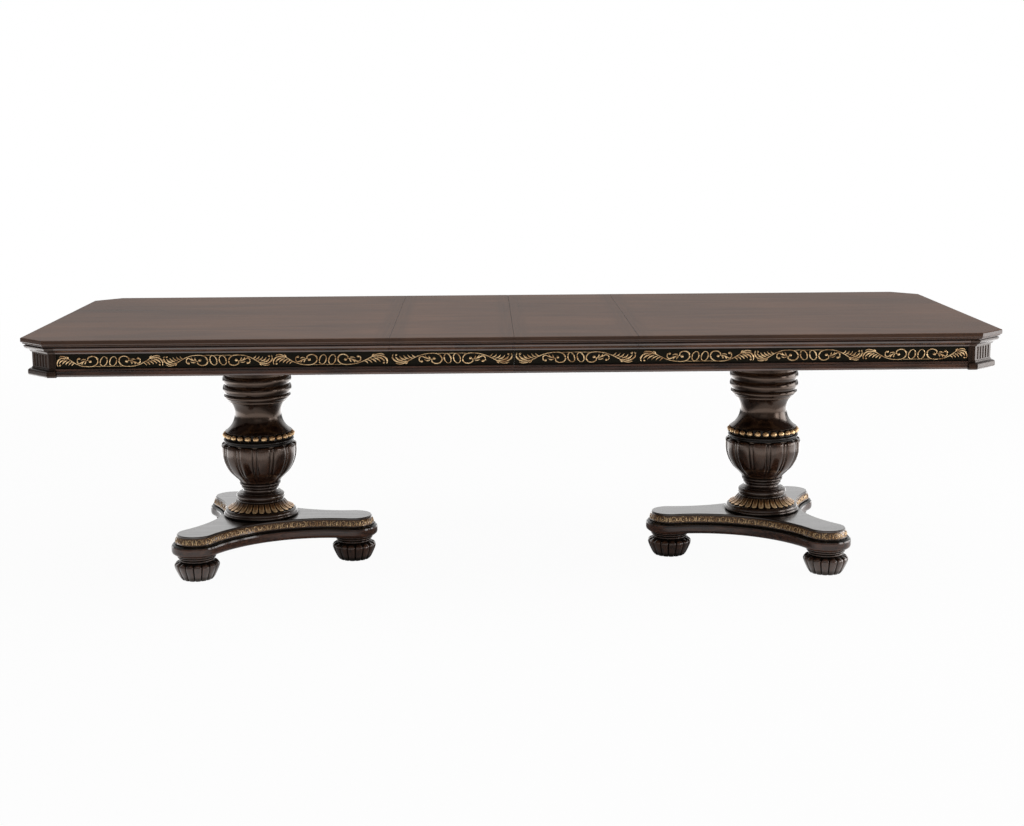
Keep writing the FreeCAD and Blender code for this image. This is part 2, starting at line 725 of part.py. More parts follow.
def pedestal_nodes(name, side):
    """All pieces of one pedestal, built at the origin and then carried to its half."""
    half_turn = 0 if side < 0 else 180
    column_turn = half_turn + (LEFT_COLUMN_TURN if side < 0 else RIGHT_COLUMN_TURN)
    one_foot = foot()
    square = {
        "mounting_block": mounting_block(),
        "mounting_bolts": mounting_bolts(),
        "bearers": bearers(),
        "tie_rod": tie_rod(),
    }
    column = {
        "collar": collar(),
        "vase": vase(),
        "bead_ring": bead_ring(),
        "stem": stem(),
        "plinth_top": plinth_top(),
        "plinth_base": plinth_base(),
        "foot_inner": one_foot,
        "foot_front": turn_about_z(one_foot, 120 * side),
        "foot_back": turn_about_z(one_foot, -120 * side),
    }
    nodes = {}
    for pieces, turn in ((square, half_turn), (column, column_turn), ({"urn": urn()}, URN_TURN)):
        for piece_name, piece in pieces.items():
            placed = turn_about_z(piece, turn)
            placed.translate(Vector(side * PEDESTAL_OFFSET, 0, 0))
            nodes[f"{name}_{piece_name}"] = placed
    return nodes


def half_nodes(name, side, whole_top):
    """Top, aprons and posts of one half."""
    seam = side * (LEAF_LENGTH + SEAM_GAP / 2)
    end = side * HALF_LENGTH
    post = side * (HALF_LENGTH - POST_END)
    return {
        f"{name}_top_panel": board(whole_top, min(seam, end), max(seam, end)),
        f"{name}_front_apron": front_apron(min(seam, post), max(seam, post)),
        f"{name}_back_apron": back_apron(min(seam, post), max(seam, post)),
        f"{name}_end_apron": end_apron(side),
        f"{name}_corner_posts": corner_posts(side),
        f"{name}_slide_rails": half_rails(side),
    }


def leaf_nodes(name, side, whole_top):
    """Panel, aprons and battens of one leaf, and the slide that carries it."""
    near = side * SEAM_GAP / 2
    far = side * (LEAF_LENGTH - SEAM_GAP / 2)
    low = min(near, far)
    high = max(near, far)
    return {
        f"leaf_{name}_panel": board(whole_top, low, high),
        f"leaf_{name}_front_apron": front_apron(low, high),
        f"leaf_{name}_back_apron": back_apron(low, high),
        f"leaf_{name}_battens": battens(side * LEAF_LENGTH / 2),
        f"{name}_inner_slide": inner_slide(side),
    }


def lock_nodes():
    """Pivots, studs and levers at the three seams."""
    seam = LEAF_LENGTH
    near = -seam - LOCK_REACH
    far = seam + LOCK_REACH
    studs_left = lock_fittings([-seam + LOCK_REACH], lock_stud)
    studs_right = lock_fittings([LOCK_REACH, seam - LOCK_REACH], lock_stud)
    pivots_left = lock_fittings([-LOCK_REACH], lock_pivot)
    nodes = {
        "left_lock_pivots": Part.makeCompound(lock_fittings([near], lock_pivot)),
        "leaf_left_lock_fittings": Part.makeCompound(studs_left + pivots_left),
        "leaf_right_lock_studs": Part.makeCompound(studs_right),
        "right_lock_pivots": Part.makeCompound(lock_fittings([far], lock_pivot)),
    }
    seams = {"left": (near, 1), "middle": (-LOCK_REACH, 1), "right": (far, -1)}
    for seam_name, (pivot_x, towards) in seams.items():
        for row_name, pivot_y in (("front", -LOCK_ROW), ("back", LOCK_ROW)):
            lever = lock_lever(pivot_x, pivot_y, towards)
            nodes[f"lock_lever_{seam_name}_{row_name}"] = lever
    return nodes


def all_nodes():
    whole_top = moulded_top()
    nodes = {}
    for name, side in (("left", -1), ("right", 1)):
        nodes.update(half_nodes(name, side, whole_top))
        nodes.update(pedestal_nodes(name, side))
        nodes.update(leaf_nodes(name, side, whole_top))
    nodes.update(lock_nodes())
    return nodes


os.makedirs("parts", exist_ok=True)
for node_name, node_shape in all_nodes().items():
    node_shape.exportStep(f"parts/{node_name}.step")
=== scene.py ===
"""Finishes, carving and studio for a double pedestal dining table.

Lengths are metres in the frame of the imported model, unless a name ends in _MM.
Outlines, carving and strokes are drawn in millimetres.
"""

from math import atan, atan2, cos, exp, hypot, pi, radians, sin, sqrt, tau

import bmesh
import bpy
from bpy.props import FloatProperty, FloatVectorProperty, IntProperty, PointerProperty
from mathutils import Matrix, Vector


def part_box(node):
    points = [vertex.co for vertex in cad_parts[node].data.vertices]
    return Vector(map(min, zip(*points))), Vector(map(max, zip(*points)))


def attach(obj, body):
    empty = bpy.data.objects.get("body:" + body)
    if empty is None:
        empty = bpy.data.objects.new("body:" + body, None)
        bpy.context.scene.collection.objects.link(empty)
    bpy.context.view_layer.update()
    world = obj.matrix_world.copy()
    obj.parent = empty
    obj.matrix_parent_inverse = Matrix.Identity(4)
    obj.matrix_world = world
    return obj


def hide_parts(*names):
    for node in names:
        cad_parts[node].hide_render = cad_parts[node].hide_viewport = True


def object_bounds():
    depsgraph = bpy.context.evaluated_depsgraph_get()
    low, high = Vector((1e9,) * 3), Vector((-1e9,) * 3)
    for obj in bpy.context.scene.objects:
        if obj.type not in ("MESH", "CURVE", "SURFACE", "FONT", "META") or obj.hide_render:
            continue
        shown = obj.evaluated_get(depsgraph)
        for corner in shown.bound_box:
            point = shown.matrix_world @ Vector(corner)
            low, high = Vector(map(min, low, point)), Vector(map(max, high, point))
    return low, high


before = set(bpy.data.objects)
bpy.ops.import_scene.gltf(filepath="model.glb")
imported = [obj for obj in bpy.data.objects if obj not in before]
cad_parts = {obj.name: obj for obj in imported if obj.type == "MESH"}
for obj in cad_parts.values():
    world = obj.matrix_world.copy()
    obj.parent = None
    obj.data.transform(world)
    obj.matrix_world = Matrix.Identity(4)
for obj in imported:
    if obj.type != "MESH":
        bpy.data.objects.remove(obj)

bl_info = {
    "name": "Double Pedestal Dining Table",
    "version": (1, 0, 0),
    "blender": (4, 5, 0),
    "location": "3D View > Sidebar > Table",
    "description": "Finishes, carving and studio for a double pedestal dining table",
    "category": "Object",
}

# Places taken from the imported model
TABLE_LOW, TABLE_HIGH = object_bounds()
SEAM_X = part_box("leaf_right_panel")[1].x
SIDES = {"left": -1, "right": 1}

# Apron: the frieze's face lies this far in from the edge of the top
FRIEZE_INSET = 0.033
FRIEZE_FOOT = 0.6995
FRIEZE_HEAD = 0.7435

# Frieze ornament: a motif's core keeps its shape, and its outer part fits the room beside it
MOTIF_CORE_MM = 70.0
MOTIF_REACH_MM = 172.0
MOTIF_PITCH_MM = 313.0
FIRST_MOTIF_MM = 180.0
POST_REACH_MM = 147.0
END_PITCH = 0.298

# Pedestal in plan: the turn of each column in degrees, and the plinth's three lobes
COLUMN_TURN = {"left": -4.5, "right": 182.4}
URN_TURN = 6.9
FOOT_CIRCLE_MM = 300.0
LOBE_RADIUS_MM = 58.0
HOLLOW_RADIUS_MM = 375.0
ROD_BORE_MM = 5.5

# Heights where one piece or band of the pedestal gives way to the next
BUN_HEAD_MM = 57
STEM_FOOT_MM = 143
SKIRT_HEAD_MM = 191
URN_FOOT_MM = 254
URN_HEAD_MM = 380
VASE_FOOT_MM = 418
PLINTH_QUIRK = 0.1075
HOLLOW_FOOT = 0.1168
HOLLOW_HEAD = 0.1368

# Lacquer: the tint of its satin sheen, and the range of roughness on the turned pieces
SHEEN_TINT = (1.0, 0.68, 0.50)
TURNED_POLISH = (0.17, 0.26)

# Grain: patterns are drawn out along the axis that the wood runs along
GRAIN_STRETCH = {"X": (0.05, 1, 1), "Y": (1, 0.05, 1), "Z": (1, 1, 0.05)}

# Camera that took the photograph, fitted to the top's corners, the seams and the feet
CAMERA_PLACE = (-0.0899, -5.3443, 1.4222)
CAMERA_YAW = 0.98529
CAMERA_PITCH = 10.15369
CAMERA_ROLL = -0.36649
CAMERA_LENS = 59.54
SENSOR_WIDTH = 36.0


def smooth_step(low, high, value):
    share = min(max((value - low) / (high - low), 0.0), 1.0)
    return share * share * (3 - 2 * share)


def ridge(place, width):
    """1 at place 0, and falling away smoothly over a width."""
    return exp(-((place / width) ** 2))


def polar(radius, angle):
    return radius * Vector((cos(angle), sin(angle)))


def turned(degrees, axis="Z"):
    return Matrix.Rotation(radians(degrees), 4, axis)


# Settings that a user would change


def colour_setting(name, description, default):
    return FloatVectorProperty(
        name=name, description=description, subtype="COLOR", default=default, min=0, max=1)


def count_setting(name, description, default, low, high):
    return IntProperty(name=name, description=description, default=default, min=low, max=high)


def length_setting(name, description, default, low, high):
    return FloatProperty(
        name=name, description=description, subtype="DISTANCE", unit="LENGTH",
        default=default, min=low, max=high)


def power_setting(name, lamp, default):
    description = f"Power of the {lamp}"
    return FloatProperty(name=name, description=description, unit="POWER", default=default, min=0)


class FinishSettings(bpy.types.PropertyGroup):
    """Colours of the wood, the glazing (also painted as shade in the recesses), the gold and the steel."""

    cherry_dark: colour_setting(
        "Cherry, dark", "Dark streaks of the stained cherry", (0.0085, 0.0036, 0.0025))
    cherry_light: colour_setting(
        "Cherry, light", "Light streaks of the stained cherry", (0.060, 0.0245, 0.0135))
    top_dark: colour_setting("Top, dark", "Dark figure of the veneered top", (0.065, 0.0295, 0.0155))
    top_light: colour_setting("Top, light", "Light figure of the veneered top", (0.150, 0.067, 0.033))
    # The glazing colour is also painted as shade in the recesses and grooves.
    glaze_and_shade: colour_setting("Glaze", "Black glaze wiped into the recesses", (0.0032, 0.0028, 0.0023))
    frieze_ground: colour_setting(
        "Frieze ground", "Dark ground behind the gilded scrolls", (0.0065, 0.0067, 0.0046))
    gold_dark: colour_setting("Gold, dark", "Rubbed and toned gold", (0.30, 0.148, 0.054))
    gold_light: colour_setting("Gold, light", "Bright gold on the crests", (0.90, 0.63, 0.34))
    plain_dark: colour_setting(
        "Plain wood, dark", "Dark streaks of the unstained wood below the top", (0.23, 0.13, 0.06))
    plain_light: colour_setting(
        "Plain wood, light", "Light streaks of the unstained wood below the top", (0.48, 0.31, 0.17))
    steel: colour_setting("Steel", "Zinc-plated fittings", (0.52, 0.53, 0.54))


class CarvingSettings(bpy.types.PropertyGroup):
    """Counts and sizes of the carving."""

    urn_lobes: count_setting("Urn lobes", "Broad lobes round each urn", 13, 6, 24)
    urn_groove: length_setting(
        "Urn groove", "Depth of the grooves between lobes and reeds", 0.0045, 0, 0.01)
    bead_count: count_setting("Beads", "Gilded beads round each column", 26, 12, 48)
    petal_count: count_setting("Petals", "Petals on each skirt", 28, 12, 48)
    foot_lobes: count_setting("Foot lobes", "Gadroons round each bun foot", 16, 8, 32)
    relief: length_setting("Relief", "Half the thickness of a frieze stem", 0.0017, 0.0005, 0.004)
    leaf_pitch: length_setting(
        "Plinth leaf pitch", "Spacing of the carved leaves along the plinth", 0.0105, 0.006, 0.03)


class StageSettings(bpy.types.PropertyGroup):
    """Floor, lamps and world."""

    floor: colour_setting("Floor", "Colour of the studio floor", (0.90, 0.90, 0.90))
    world: FloatProperty(
        name="World", description="Strength of the studio's all-round light", default=0.34, min=0, max=2)
    ceiling_lamp: power_setting("Ceiling lamp", "softbox above the table", 42.0)
    key_lamp: power_setting("Key lamp", "softbox at the front right", 34.0)
    side_lamp: power_setting("Side lamp", "softbox at the right end of the table", 56.0)
    front_lamp: power_setting("Front lamp", "broad softbox behind the camera", 10.0)
    rim_lamp: power_setting("Rim lamp", "light strip on the floor behind the table", 90.0)
    end_lamp: power_setting("End lamps", "light patch on the floor at each end", 24.0)
    floor_lamp: power_setting("Floor lamp", "light strip on the floor before the table", 62.0)


class TableSettings(bpy.types.PropertyGroup):
    """All settings of the table."""

    finish: PointerProperty(type=FinishSettings)
    carving: PointerProperty(type=CarvingSettings)
    stage: PointerProperty(type=StageSettings)


def settings():
    return bpy.context.scene.dining_table


# Shader nodes


def feed(tree, socket, value):
    """Links an output to a socket, or sets the socket's own value."""
    if isinstance(value, bpy.types.NodeSocket):
        tree.links.new(value, socket)
    elif socket.type == "RGBA" and len(value) == 3:
        socket.default_value = (*value, 1.0)
    else:
        socket.default_value = value


def set_sockets(tree, made, sockets):
    """Feeds a node's sockets, each given by its name or number."""
    for name, value in sockets.items():
        feed(tree, made.inputs[name], value)


def node(tree, kind, sockets=None, **options):
    made = tree.nodes.new("ShaderNode" + kind)
    for option, value in options.items():
        setattr(made, option, value)
    set_sockets(tree, made, sockets or {})
    return made


def blend(tree, factor, first, second):
    """A colour between two others."""
    factor_slot, first_slot, second_slot, result_slot = 0, 6, 7, 2
    sockets = {factor_slot: factor, first_slot: first, second_slot: second}
    return node(tree, "Mix", sockets, data_type="RGBA").outputs[result_slot]


def mix_shaders(tree, share, first, second):
    sockets = {0: share, 1: first.outputs[0], 2: second.outputs[0]}
    return node(tree, "MixShader", sockets).outputs[0]


def remap(tree, value, low, high, to_low=0.0, to_high=1.0):
    made = node(
        tree, "MapRange", interpolation_type="SMOOTHSTEP",
        sockets={"Value": value, "From Min": low, "From Max": high, "To Min": to_low, "To Max": to_high})
    return made.outputs["Result"]


def arithmetic(tree, operation, *values):
    return node(tree, "Math", dict(enumerate(values)), operation=operation).outputs[0]


def multiply(tree, first, second):
    return arithmetic(tree, "MULTIPLY", first, second)


def highest(tree, first, second):
    return arithmetic(tree, "MAXIMUM", first, second)


def weighted(tree, *layers):
    """The sum of (pattern, weight) layers."""
    total = multiply(tree, *layers[0])
    for pattern, weight in layers[1:]:
        total = arithmetic(tree, "ADD", total, multiply(tree, pattern, weight))
    return total


def toned(colour, share):
    return [share * channel for channel in colour]


def along_axis(tree, vector, axis):
    return node(tree, "SeparateXYZ", {"Vector": vector}).outputs[axis]


def facing_up(tree):
    """1 where the surface faces up, and -1 where it faces down."""
    return along_axis(tree, node(tree, "NewGeometry").outputs["Normal"], "Z")


def height_band(tree, place, foot, head, blur):
    """High between two heights, and blurred inside them."""
    height = along_axis(tree, place, "Z")
    above = remap(tree, height, foot, foot + blur)
    return multiply(tree, above, remap(tree, height, head, head - blur))


def mottle(tree, place, scale, stretch=(1, 1, 1), detail=4.0, distortion=0.0):
    """Cloudy variation, drawn out where its stretch is small."""
    mapped = node(tree, "Mapping", {"Vector": place, "Scale": stretch})
    cloud = node(tree, "TexNoise", {
        "Vector": mapped.outputs[0], "Scale": scale, "Detail": detail, "Distortion": distortion})
    return cloud.outputs["Fac"]


def new_material(name):
    """The node tree and the shader of a new finish, and the place of a point on its piece."""
    made = bpy.data.materials.new(name)
    made.use_nodes = True
    tree = made.node_tree
    tree.nodes.clear()
    shader = node(tree, "BsdfPrincipled")
    surface = node(tree, "OutputMaterial", {"Surface": shader.outputs[0]})
    surface.is_active_output = True
    return tree, shader, node(tree, "TexCoord").outputs["Object"]


def rounded_edges(tree, radius):
    """The normal with its sharp edges rounded off."""
    return node(tree, "Bevel", {"Radius": radius}, samples=4).outputs[0]


def worn_and_highlit_edges(tree, rounded):
    """High on sharp edges, where the rounded normal leaves the flat one: for rubbed wear and a painted
    highlight.
    """
    flat = node(tree, "NewGeometry").outputs["Normal"]
    likeness = node(tree, "VectorMath", {0: rounded, 1: flat}, operation="DOT_PRODUCT")
    return remap(tree, likeness.outputs["Value"], 0.995, 0.93)


def recess_glaze_and_shade(tree, distance, low, high):
    """High where the surface is hemmed in: for glazing that gathers there, and for painted shade in the
    recesses.
    """
    hemmed = node(tree, "AmbientOcclusion", {"Distance": distance}, samples=6)
    return remap(tree, hemmed.outputs["AO"], high, low)


def emboss(tree, pattern, strength, distance, rounded=None):
    """A normal on which a pattern is raised."""
    bump = node(tree, "Bump", {"Height": pattern, "Strength": strength, "Distance": distance})
    if rounded is not None:
        feed(tree, bump.inputs["Normal"], rounded)
    return bump.outputs[0]


def lacquer(tree, shader, satin, gloss, roughness):
    """A satin underlayer, and a clear coat over it."""
    set_sockets(tree, shader, {
        "Specular IOR Level": satin, "Specular Tint": SHEEN_TINT,
        "Coat Weight": gloss, "Coat Roughness": roughness, "Coat IOR": 1.6})


# Finishes


def frieze_ground(tree, place, axis):
    """High on the ground of a frieze that faces outwards along an axis."""
    blur = 0.0004
    band = height_band(tree, place, FRIEZE_FOOT - blur, FRIEZE_HEAD + blur, 2 * blur)
    face = getattr(TABLE_HIGH, axis.lower()) - FRIEZE_INSET
    outwards = arithmetic(tree, "ABSOLUTE", along_axis(tree, place, axis))
    return multiply(tree, band, remap(tree, outwards, face - 0.004, face - 0.002))


def cherry_material(name, grain, tone=1.0, glaze_share=0.0, frieze_faces=None, satin=0.03, gloss=0.3,
                    reach=0.02, black_above=None, polish=(0.28, 0.38)):
    """Stained cherry: streaks along the grain, glazing and painted shade in the recesses, rubbed edges
    lightened also as a painted highlight, lacquer.

    A frieze gets its dark ground where the apron faces outwards along the given axis.
    """
    finish = settings().finish
    tree, shader, place = new_material(name)
    streaks = mottle(tree, place, 90.0, GRAIN_STRETCH[grain], detail=6.0, distortion=0.7)
    clouds = mottle(tree, place, 7.0, detail=3.0)
    pores = mottle(tree, place, 900.0, GRAIN_STRETCH[grain], detail=2.0)
    figure = weighted(tree, (streaks, 0.65), (clouds, 0.35))
    light = toned(finish.cherry_light, tone)
    colour = blend(tree, remap(tree, figure, 0.32, 0.68), toned(finish.cherry_dark, tone), light)
    colour = blend(tree, remap(tree, pores, 0.62, 0.75, 0.0, 0.35), colour, finish.cherry_dark)
    rounded = rounded_edges(tree, 0.0011)
    # Sharp edges lightened in patches: rubbed wear, and a painted highlight along the edges.
    rubbed = multiply(tree, worn_and_highlit_edges(tree, rounded), remap(tree, clouds, 0.35, 0.65, 0.1, 0.55))
    colour = blend(tree, rubbed, colour, toned(light, 2.1))
    # Glazing and painted shade in the carving's grooves and in the recesses, which darkens the colour and
    # dulls the coat there.
    carved_glaze_and_shade = node(tree, "Attribute", attribute_name="glaze_and_shade").outputs["Fac"]
    dulled = highest(tree, recess_glaze_and_shade(tree, reach, 0.5, 0.92), carved_glaze_and_shade)
    glazed_and_shaded = dulled
    if glaze_share:
        washed = remap(tree, clouds, 0.2, 0.8, glaze_share - 0.12, glaze_share + 0.06)
        glazed_and_shaded = highest(tree, glazed_and_shaded, washed)
    if black_above:
        blackened = remap(tree, along_axis(tree, place, "Z"), black_above, black_above + 0.0008)
        glazed_and_shaded = highest(tree, glazed_and_shaded, blackened)
    if frieze_faces:
        ground = frieze_ground(tree, place, frieze_faces)
        colour = blend(tree, ground, colour, finish.frieze_ground)
        dulled = highest(tree, dulled, ground)
    lacquer(tree, shader, satin, gloss, roughness=0.15)
    set_sockets(tree, shader, {
        "Base Color": blend(tree, glazed_and_shaded, colour, finish.glaze_and_shade),
        "Roughness": remap(tree, streaks, 0.3, 0.7, *polish),
        "Normal": emboss(tree, pores, 0.12, 0.0004, rounded),
        "Coat Normal": emboss(tree, clouds, 0.05, 0.0006, rounded),
        "Coat Weight": remap(tree, dulled, 0.1, 1.0, gloss, 0.09)})
    return tree, shader, place


def seam_distance(tree, place):
    """Distance on the top from a point to the nearest seam."""
    along = arithmetic(tree, "ABSOLUTE", along_axis(tree, place, "X"))
    seam = arithmetic(tree, "ABSOLUTE", arithmetic(tree, "SUBTRACT", along, SEAM_X))
    return arithmetic(tree, "MINIMUM", seam, along)


def veneer_material(name):
    """Veneered top: figured field along the length, a darker cross-grained band at each seam."""
    finish = settings().finish
    tree, shader, place = new_material(name)
    band_width = 0.040
    band_blur = 0.016
    gloss = 0.28
    flames = mottle(tree, place, 9.0, (0.16, 1, 1), detail=5.0, distortion=1.2)
    streaks = mottle(tree, place, 120.0, (0.03, 1, 1), detail=6.0, distortion=0.5)
    cross = mottle(tree, place, 120.0, (1, 0.03, 1), detail=6.0, distortion=0.5)
    clouds = mottle(tree, place, 2.2, detail=3.0)
    pores = mottle(tree, place, 1100.0, (0.04, 1, 1), detail=2.0)
    figure = weighted(tree, (flames, 0.4), (streaks, 0.25), (clouds, 0.35))
    field = blend(tree, remap(tree, figure, 0.3, 0.7), finish.top_dark, finish.top_light)
    band = blend(
        tree, remap(tree, cross, 0.1, 0.9), toned(finish.top_dark, 0.75), toned(finish.top_light, 0.72))
    in_band = remap(
        tree, seam_distance(tree, place), band_width + band_blur, band_width - band_blur, 0.0, 0.6)
    colour = blend(tree, in_band, field, band)
    colour = blend(tree, remap(tree, pores, 0.62, 0.75, 0.0, 0.4), colour, finish.cherry_dark)
    rounded = rounded_edges(tree, 0.0012)
    # Sharp edges lightened in patches: rubbed wear, and a painted highlight along the edges.
    rubbed = multiply(tree, worn_and_highlit_edges(tree, rounded), remap(tree, clouds, 0.35, 0.65, 0.05, 0.45))
    colour = blend(tree, rubbed, colour, toned(finish.top_light, 1.5))
    upright = facing_up(tree)
    lacquer(tree, shader, 0.0, gloss, roughness=0.25)
    set_sockets(tree, shader, {
        "Base Color": blend(tree, remap(tree, upright, 0.9, 0.5, 0.0, 0.62), colour, finish.cherry_dark),
        "Roughness": remap(tree, figure, 0.3, 0.7, 0.40, 0.52),
        "Normal": emboss(tree, pores, 0.10, 0.0003, rounded),
        "Coat Normal": emboss(tree, flames, 0.03, 0.0006, rounded),
        "Coat Weight": remap(tree, upright, 0.9, 0.5, gloss, 0.55)})


def gold_material(name, tone_share=1.0, glaze_and_shade_reach=0.0035, metal=0.65):
    """Antique gold over black, toned in patches: glazing and painted shade left in the recesses, and
    painted shade on the flanks that face down.
    """
    finish = settings().finish
    tree, shader, place = new_material(name)
    speckle = mottle(tree, place, 420.0, detail=5.0)
    tone = weighted(tree, (speckle, 0.45), (mottle(tree, place, 60.0), 0.55))
    dark = toned(finish.gold_dark, tone_share)
    light = toned(finish.gold_light, tone_share)
    colour = blend(tree, remap(tree, tone, 0.36, 0.62), dark, light)
    # Glazing and painted shade in the recesses, and glazing missed in random flecks.
    hemmed_glaze_and_shade = recess_glaze_and_shade(tree, glaze_and_shade_reach, 0.3, 0.8)
    missed = remap(tree, speckle, 0.64, 0.74, 0.0, 0.6)
    glazed_and_shaded = highest(tree, multiply(tree, hemmed_glaze_and_shade, 0.95), missed)
    # Painted shade: gold that faces down is darkened and loses its metal.
    glazed_and_shaded = highest(tree, glazed_and_shaded, remap(tree, facing_up(tree), -0.15, -0.8, 0.0, 0.9))
    set_sockets(tree, shader, {
        "Base Color": blend(tree, glazed_and_shaded, colour, finish.glaze_and_shade),
        "Metallic": remap(tree, glazed_and_shaded, 0.1, 0.6, metal, 0.0),
        "Roughness": remap(tree, tone, 0.3, 0.7, 0.42, 0.28),
        "Normal": emboss(tree, speckle, 0.25, 0.0004)})


def gild_over(tree, shader, gilded, gold, metal):
    """Lays gold over a stained finish where a factor is high."""
    stained = shader.inputs["Base Color"].links[0].from_socket
    set_sockets(tree, shader, {
        "Base Color": blend(tree, gilded, stained, gold), "Metallic": multiply(tree, gilded, metal)})


def petal_material(name):
    """The stem's finish: cherry with glazing, and gold leaf where the carving marks it out, paler on the
    petals' rims as a painted highlight and dark at their roots as painted shade.
    """
    finish = settings().finish
    tree, shader, place = cherry_material(
        name, "Z", tone=0.45, glaze_share=0.3, satin=0.32, gloss=0.45, polish=TURNED_POLISH)
    speckle = mottle(tree, place, 300.0, detail=5.0)
    marked = node(tree, "Attribute", attribute_name="gilding_with_painted_light").outputs["Fac"]
    rubbed = multiply(tree, marked, remap(tree, speckle, 0.25, 0.6, 0.7, 1.0))
    # Pale gold where the marks are highest: the painted highlight on the rims.
    gold = blend(tree, remap(tree, marked, 0.6, 1.0), finish.gold_dark, finish.gold_light)
    gild_over(tree, shader, rubbed, gold, metal=0.5)


def plinth_material(name):
    """The upper plinth's finish: black, with dull gold in the hollow behind the leaves."""
    tree, shader, place = cherry_material(name, "X", glaze_share=0.85, satin=0.3, gloss=1.0)
    hollow = height_band(tree, place, HOLLOW_FOOT, HOLLOW_HEAD, blur=0.001)
    speckle = mottle(tree, place, 300.0, detail=5.0)
    rubbed = multiply(tree, hollow, remap(tree, speckle, 0.4, 0.62, 0.12, 0.5))
    gild_over(tree, shader, rubbed, settings().finish.gold_dark, metal=0.7)


def plain_wood_material(name, grain):
    """Unstained hardwood below the top, sealed but not lacquered."""
    finish = settings().finish
    tree, shader, place = new_material(name)
    streaks = mottle(tree, place, 70.0, GRAIN_STRETCH[grain], detail=6.0, distortion=1.0)
    clouds = mottle(tree, place, 6.0, detail=3.0)
    pores = mottle(tree, place, 800.0, GRAIN_STRETCH[grain], detail=2.0)
    figure = weighted(tree, (streaks, 0.6), (clouds, 0.4))
    colour = blend(tree, remap(tree, figure, 0.3, 0.7), finish.plain_dark, finish.plain_light)
    set_sockets(tree, shader, {
        "Base Color": blend(tree, remap(tree, pores, 0.6, 0.75, 0.0, 0.4), colour, finish.plain_dark),
        "Roughness": remap(tree, streaks, 0.3, 0.7, 0.5, 0.68),
        "Normal": emboss(tree, pores, 0.3, 0.0005, rounded_edges(tree, 0.0008))})


def steel_material(name):
    """Zinc-plated steel with a fine brushed grain and dulled patches."""
    steel = settings().finish.steel
    tree, shader, place = new_material(name)
    brushed = mottle(tree, place, 1500.0, GRAIN_STRETCH["X"], detail=2.0)
    clouds = mottle(tree, place, 120.0)
    set_sockets(tree, shader, {
        "Base Color": blend(tree, remap(tree, clouds, 0.35, 0.65), toned(steel, 0.62), steel),
        "Metallic": 1.0,
        "Roughness": remap(tree, clouds, 0.3, 0.7, 0.42, 0.28),
        "Normal": emboss(tree, brushed, 0.15, 0.0002, rounded_edges(tree, 0.0004))})


def material(name):
    found = bpy.data.materials.get(name)
    if found is None:
        raise RuntimeError(f"the finish {name} hasn't been mixed yet")
    return found


FINISH_ENDINGS = {
    "apron_cherry": ("front_apron", "back_apron"),
    "end_apron_cherry": ("end_apron",),
    "post_cherry": ("corner_posts",),
    "top_veneer": ("panel",),
    "plinth_black": ("plinth_top",),
    "plinth_cherry": ("plinth_base",),
    "bearer_wood": ("bearers", "battens"),
    "rail_wood": ("slide_rails", "inner_slide", "mounting_block"),
    "zinc_steel": ("tie_rod", "mounting_bolts"),
}


def finish_of(name):
    """The finish of a solid, by what its name ends in."""
    if "lock_" in name:
        return "zinc_steel"
    for finish_name, endings in FINISH_ENDINGS.items():
        if name.endswith(endings):
            return finish_name
    return "shade_darkened_column_cherry"


# Mesh helpers


def new_object(name, data):
    made = bpy.data.objects.new(name, data)
    bpy.context.scene.collection.objects.link(made)
    return made


def mesh_of(bm, name):
    """A mesh made from a bmesh, which is freed."""
    mesh = bpy.data.meshes.new(name)
    bm.to_mesh(mesh)
    bm.free()
    return mesh


def finish_piece(bm, name, finish_name, body, smooth_angle, replaced=()):
    """Closes a bmesh as an object that rides on a body."""
    bmesh.ops.recalc_face_normals(bm, faces=bm.faces)
    mesh = mesh_of(bm, name)
    mesh.shade_smooth()
    mesh.set_sharp_from_angle(angle=radians(smooth_angle))
    piece = new_object(name, mesh)
    mesh.materials.append(material(finish_name))
    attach(piece, body)
    if replaced:
        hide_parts(*replaced)


def arc_outline(corners, step_mm=1.5):
    """Radius and height along an outline of (radius, height, bulge): a bulge arcs its stretch."""
    points = [Vector(corners[0][:2])]
    for start_corner, end_corner in zip(corners, corners[1:]):
        start = Vector(start_corner[:2])
        end = Vector(end_corner[:2])
        bulge = end_corner[2]
        chord = end - start
        along = chord.normalized()
        side = Vector((along.y, -along.x))
        count = max(1, round(chord.length / step_mm)) if bulge else 1
        for k in range(1, count + 1):
            share = 2 * k / count - 1
            point = start.lerp(end, k / count)
            if bulge:
                radius = (chord.length_squared / 4 + bulge**2) / (2 * bulge)
                sweep = 2 * atan(2 * bulge / chord.length) * share
                point = (start + end) / 2 + along * (radius * sin(sweep))
                point += side * (radius * cos(sweep) - radius + bulge)
            points.append(point)
    return points


def flowing_outline(points, step_mm):
    """Radius and height along a smooth line through the given points."""
    knots = [Vector(p) for p in points]
    ends = [2 * knots[0] - knots[1]] + knots + [2 * knots[-1] - knots[-2]]
    outline = [knots[0]]
    for before, start, end, after in zip(ends, ends[1:], ends[2:], ends[3:]):
        count = max(1, round((end - start).length / step_mm))
        for k in range(1, count + 1):
            t = k / count
            point = 2 * start + t * (end - before)
            point += t**2 * (2 * before - 5 * start + 4 * end - after)
            point += t**3 * (3 * start - before - 3 * end + after)
            outline.append(point / 2)
    return outline


def add_mesh(bm, mesh, matrix):
    """Adds a mesh to a bmesh at a place."""
    known = len(bm.verts)
    bm.from_mesh(mesh)
    bm.verts.ensure_lookup_table()
    bmesh.ops.transform(bm, matrix=matrix, verts=bm.verts[known:])


def repeat_round(sector, count):
    """Copies a bmesh evenly round Z and merges the copies where they meet."""
    mesh = mesh_of(sector, "sector")
    whole = bmesh.new()
    for k in range(count):
        add_mesh(whole, mesh, Matrix.Rotation(tau * k / count, 4, "Z"))
    bpy.data.meshes.remove(mesh)
    bmesh.ops.remove_doubles(whole, verts=whole.verts, dist=1e-6)
    return whole


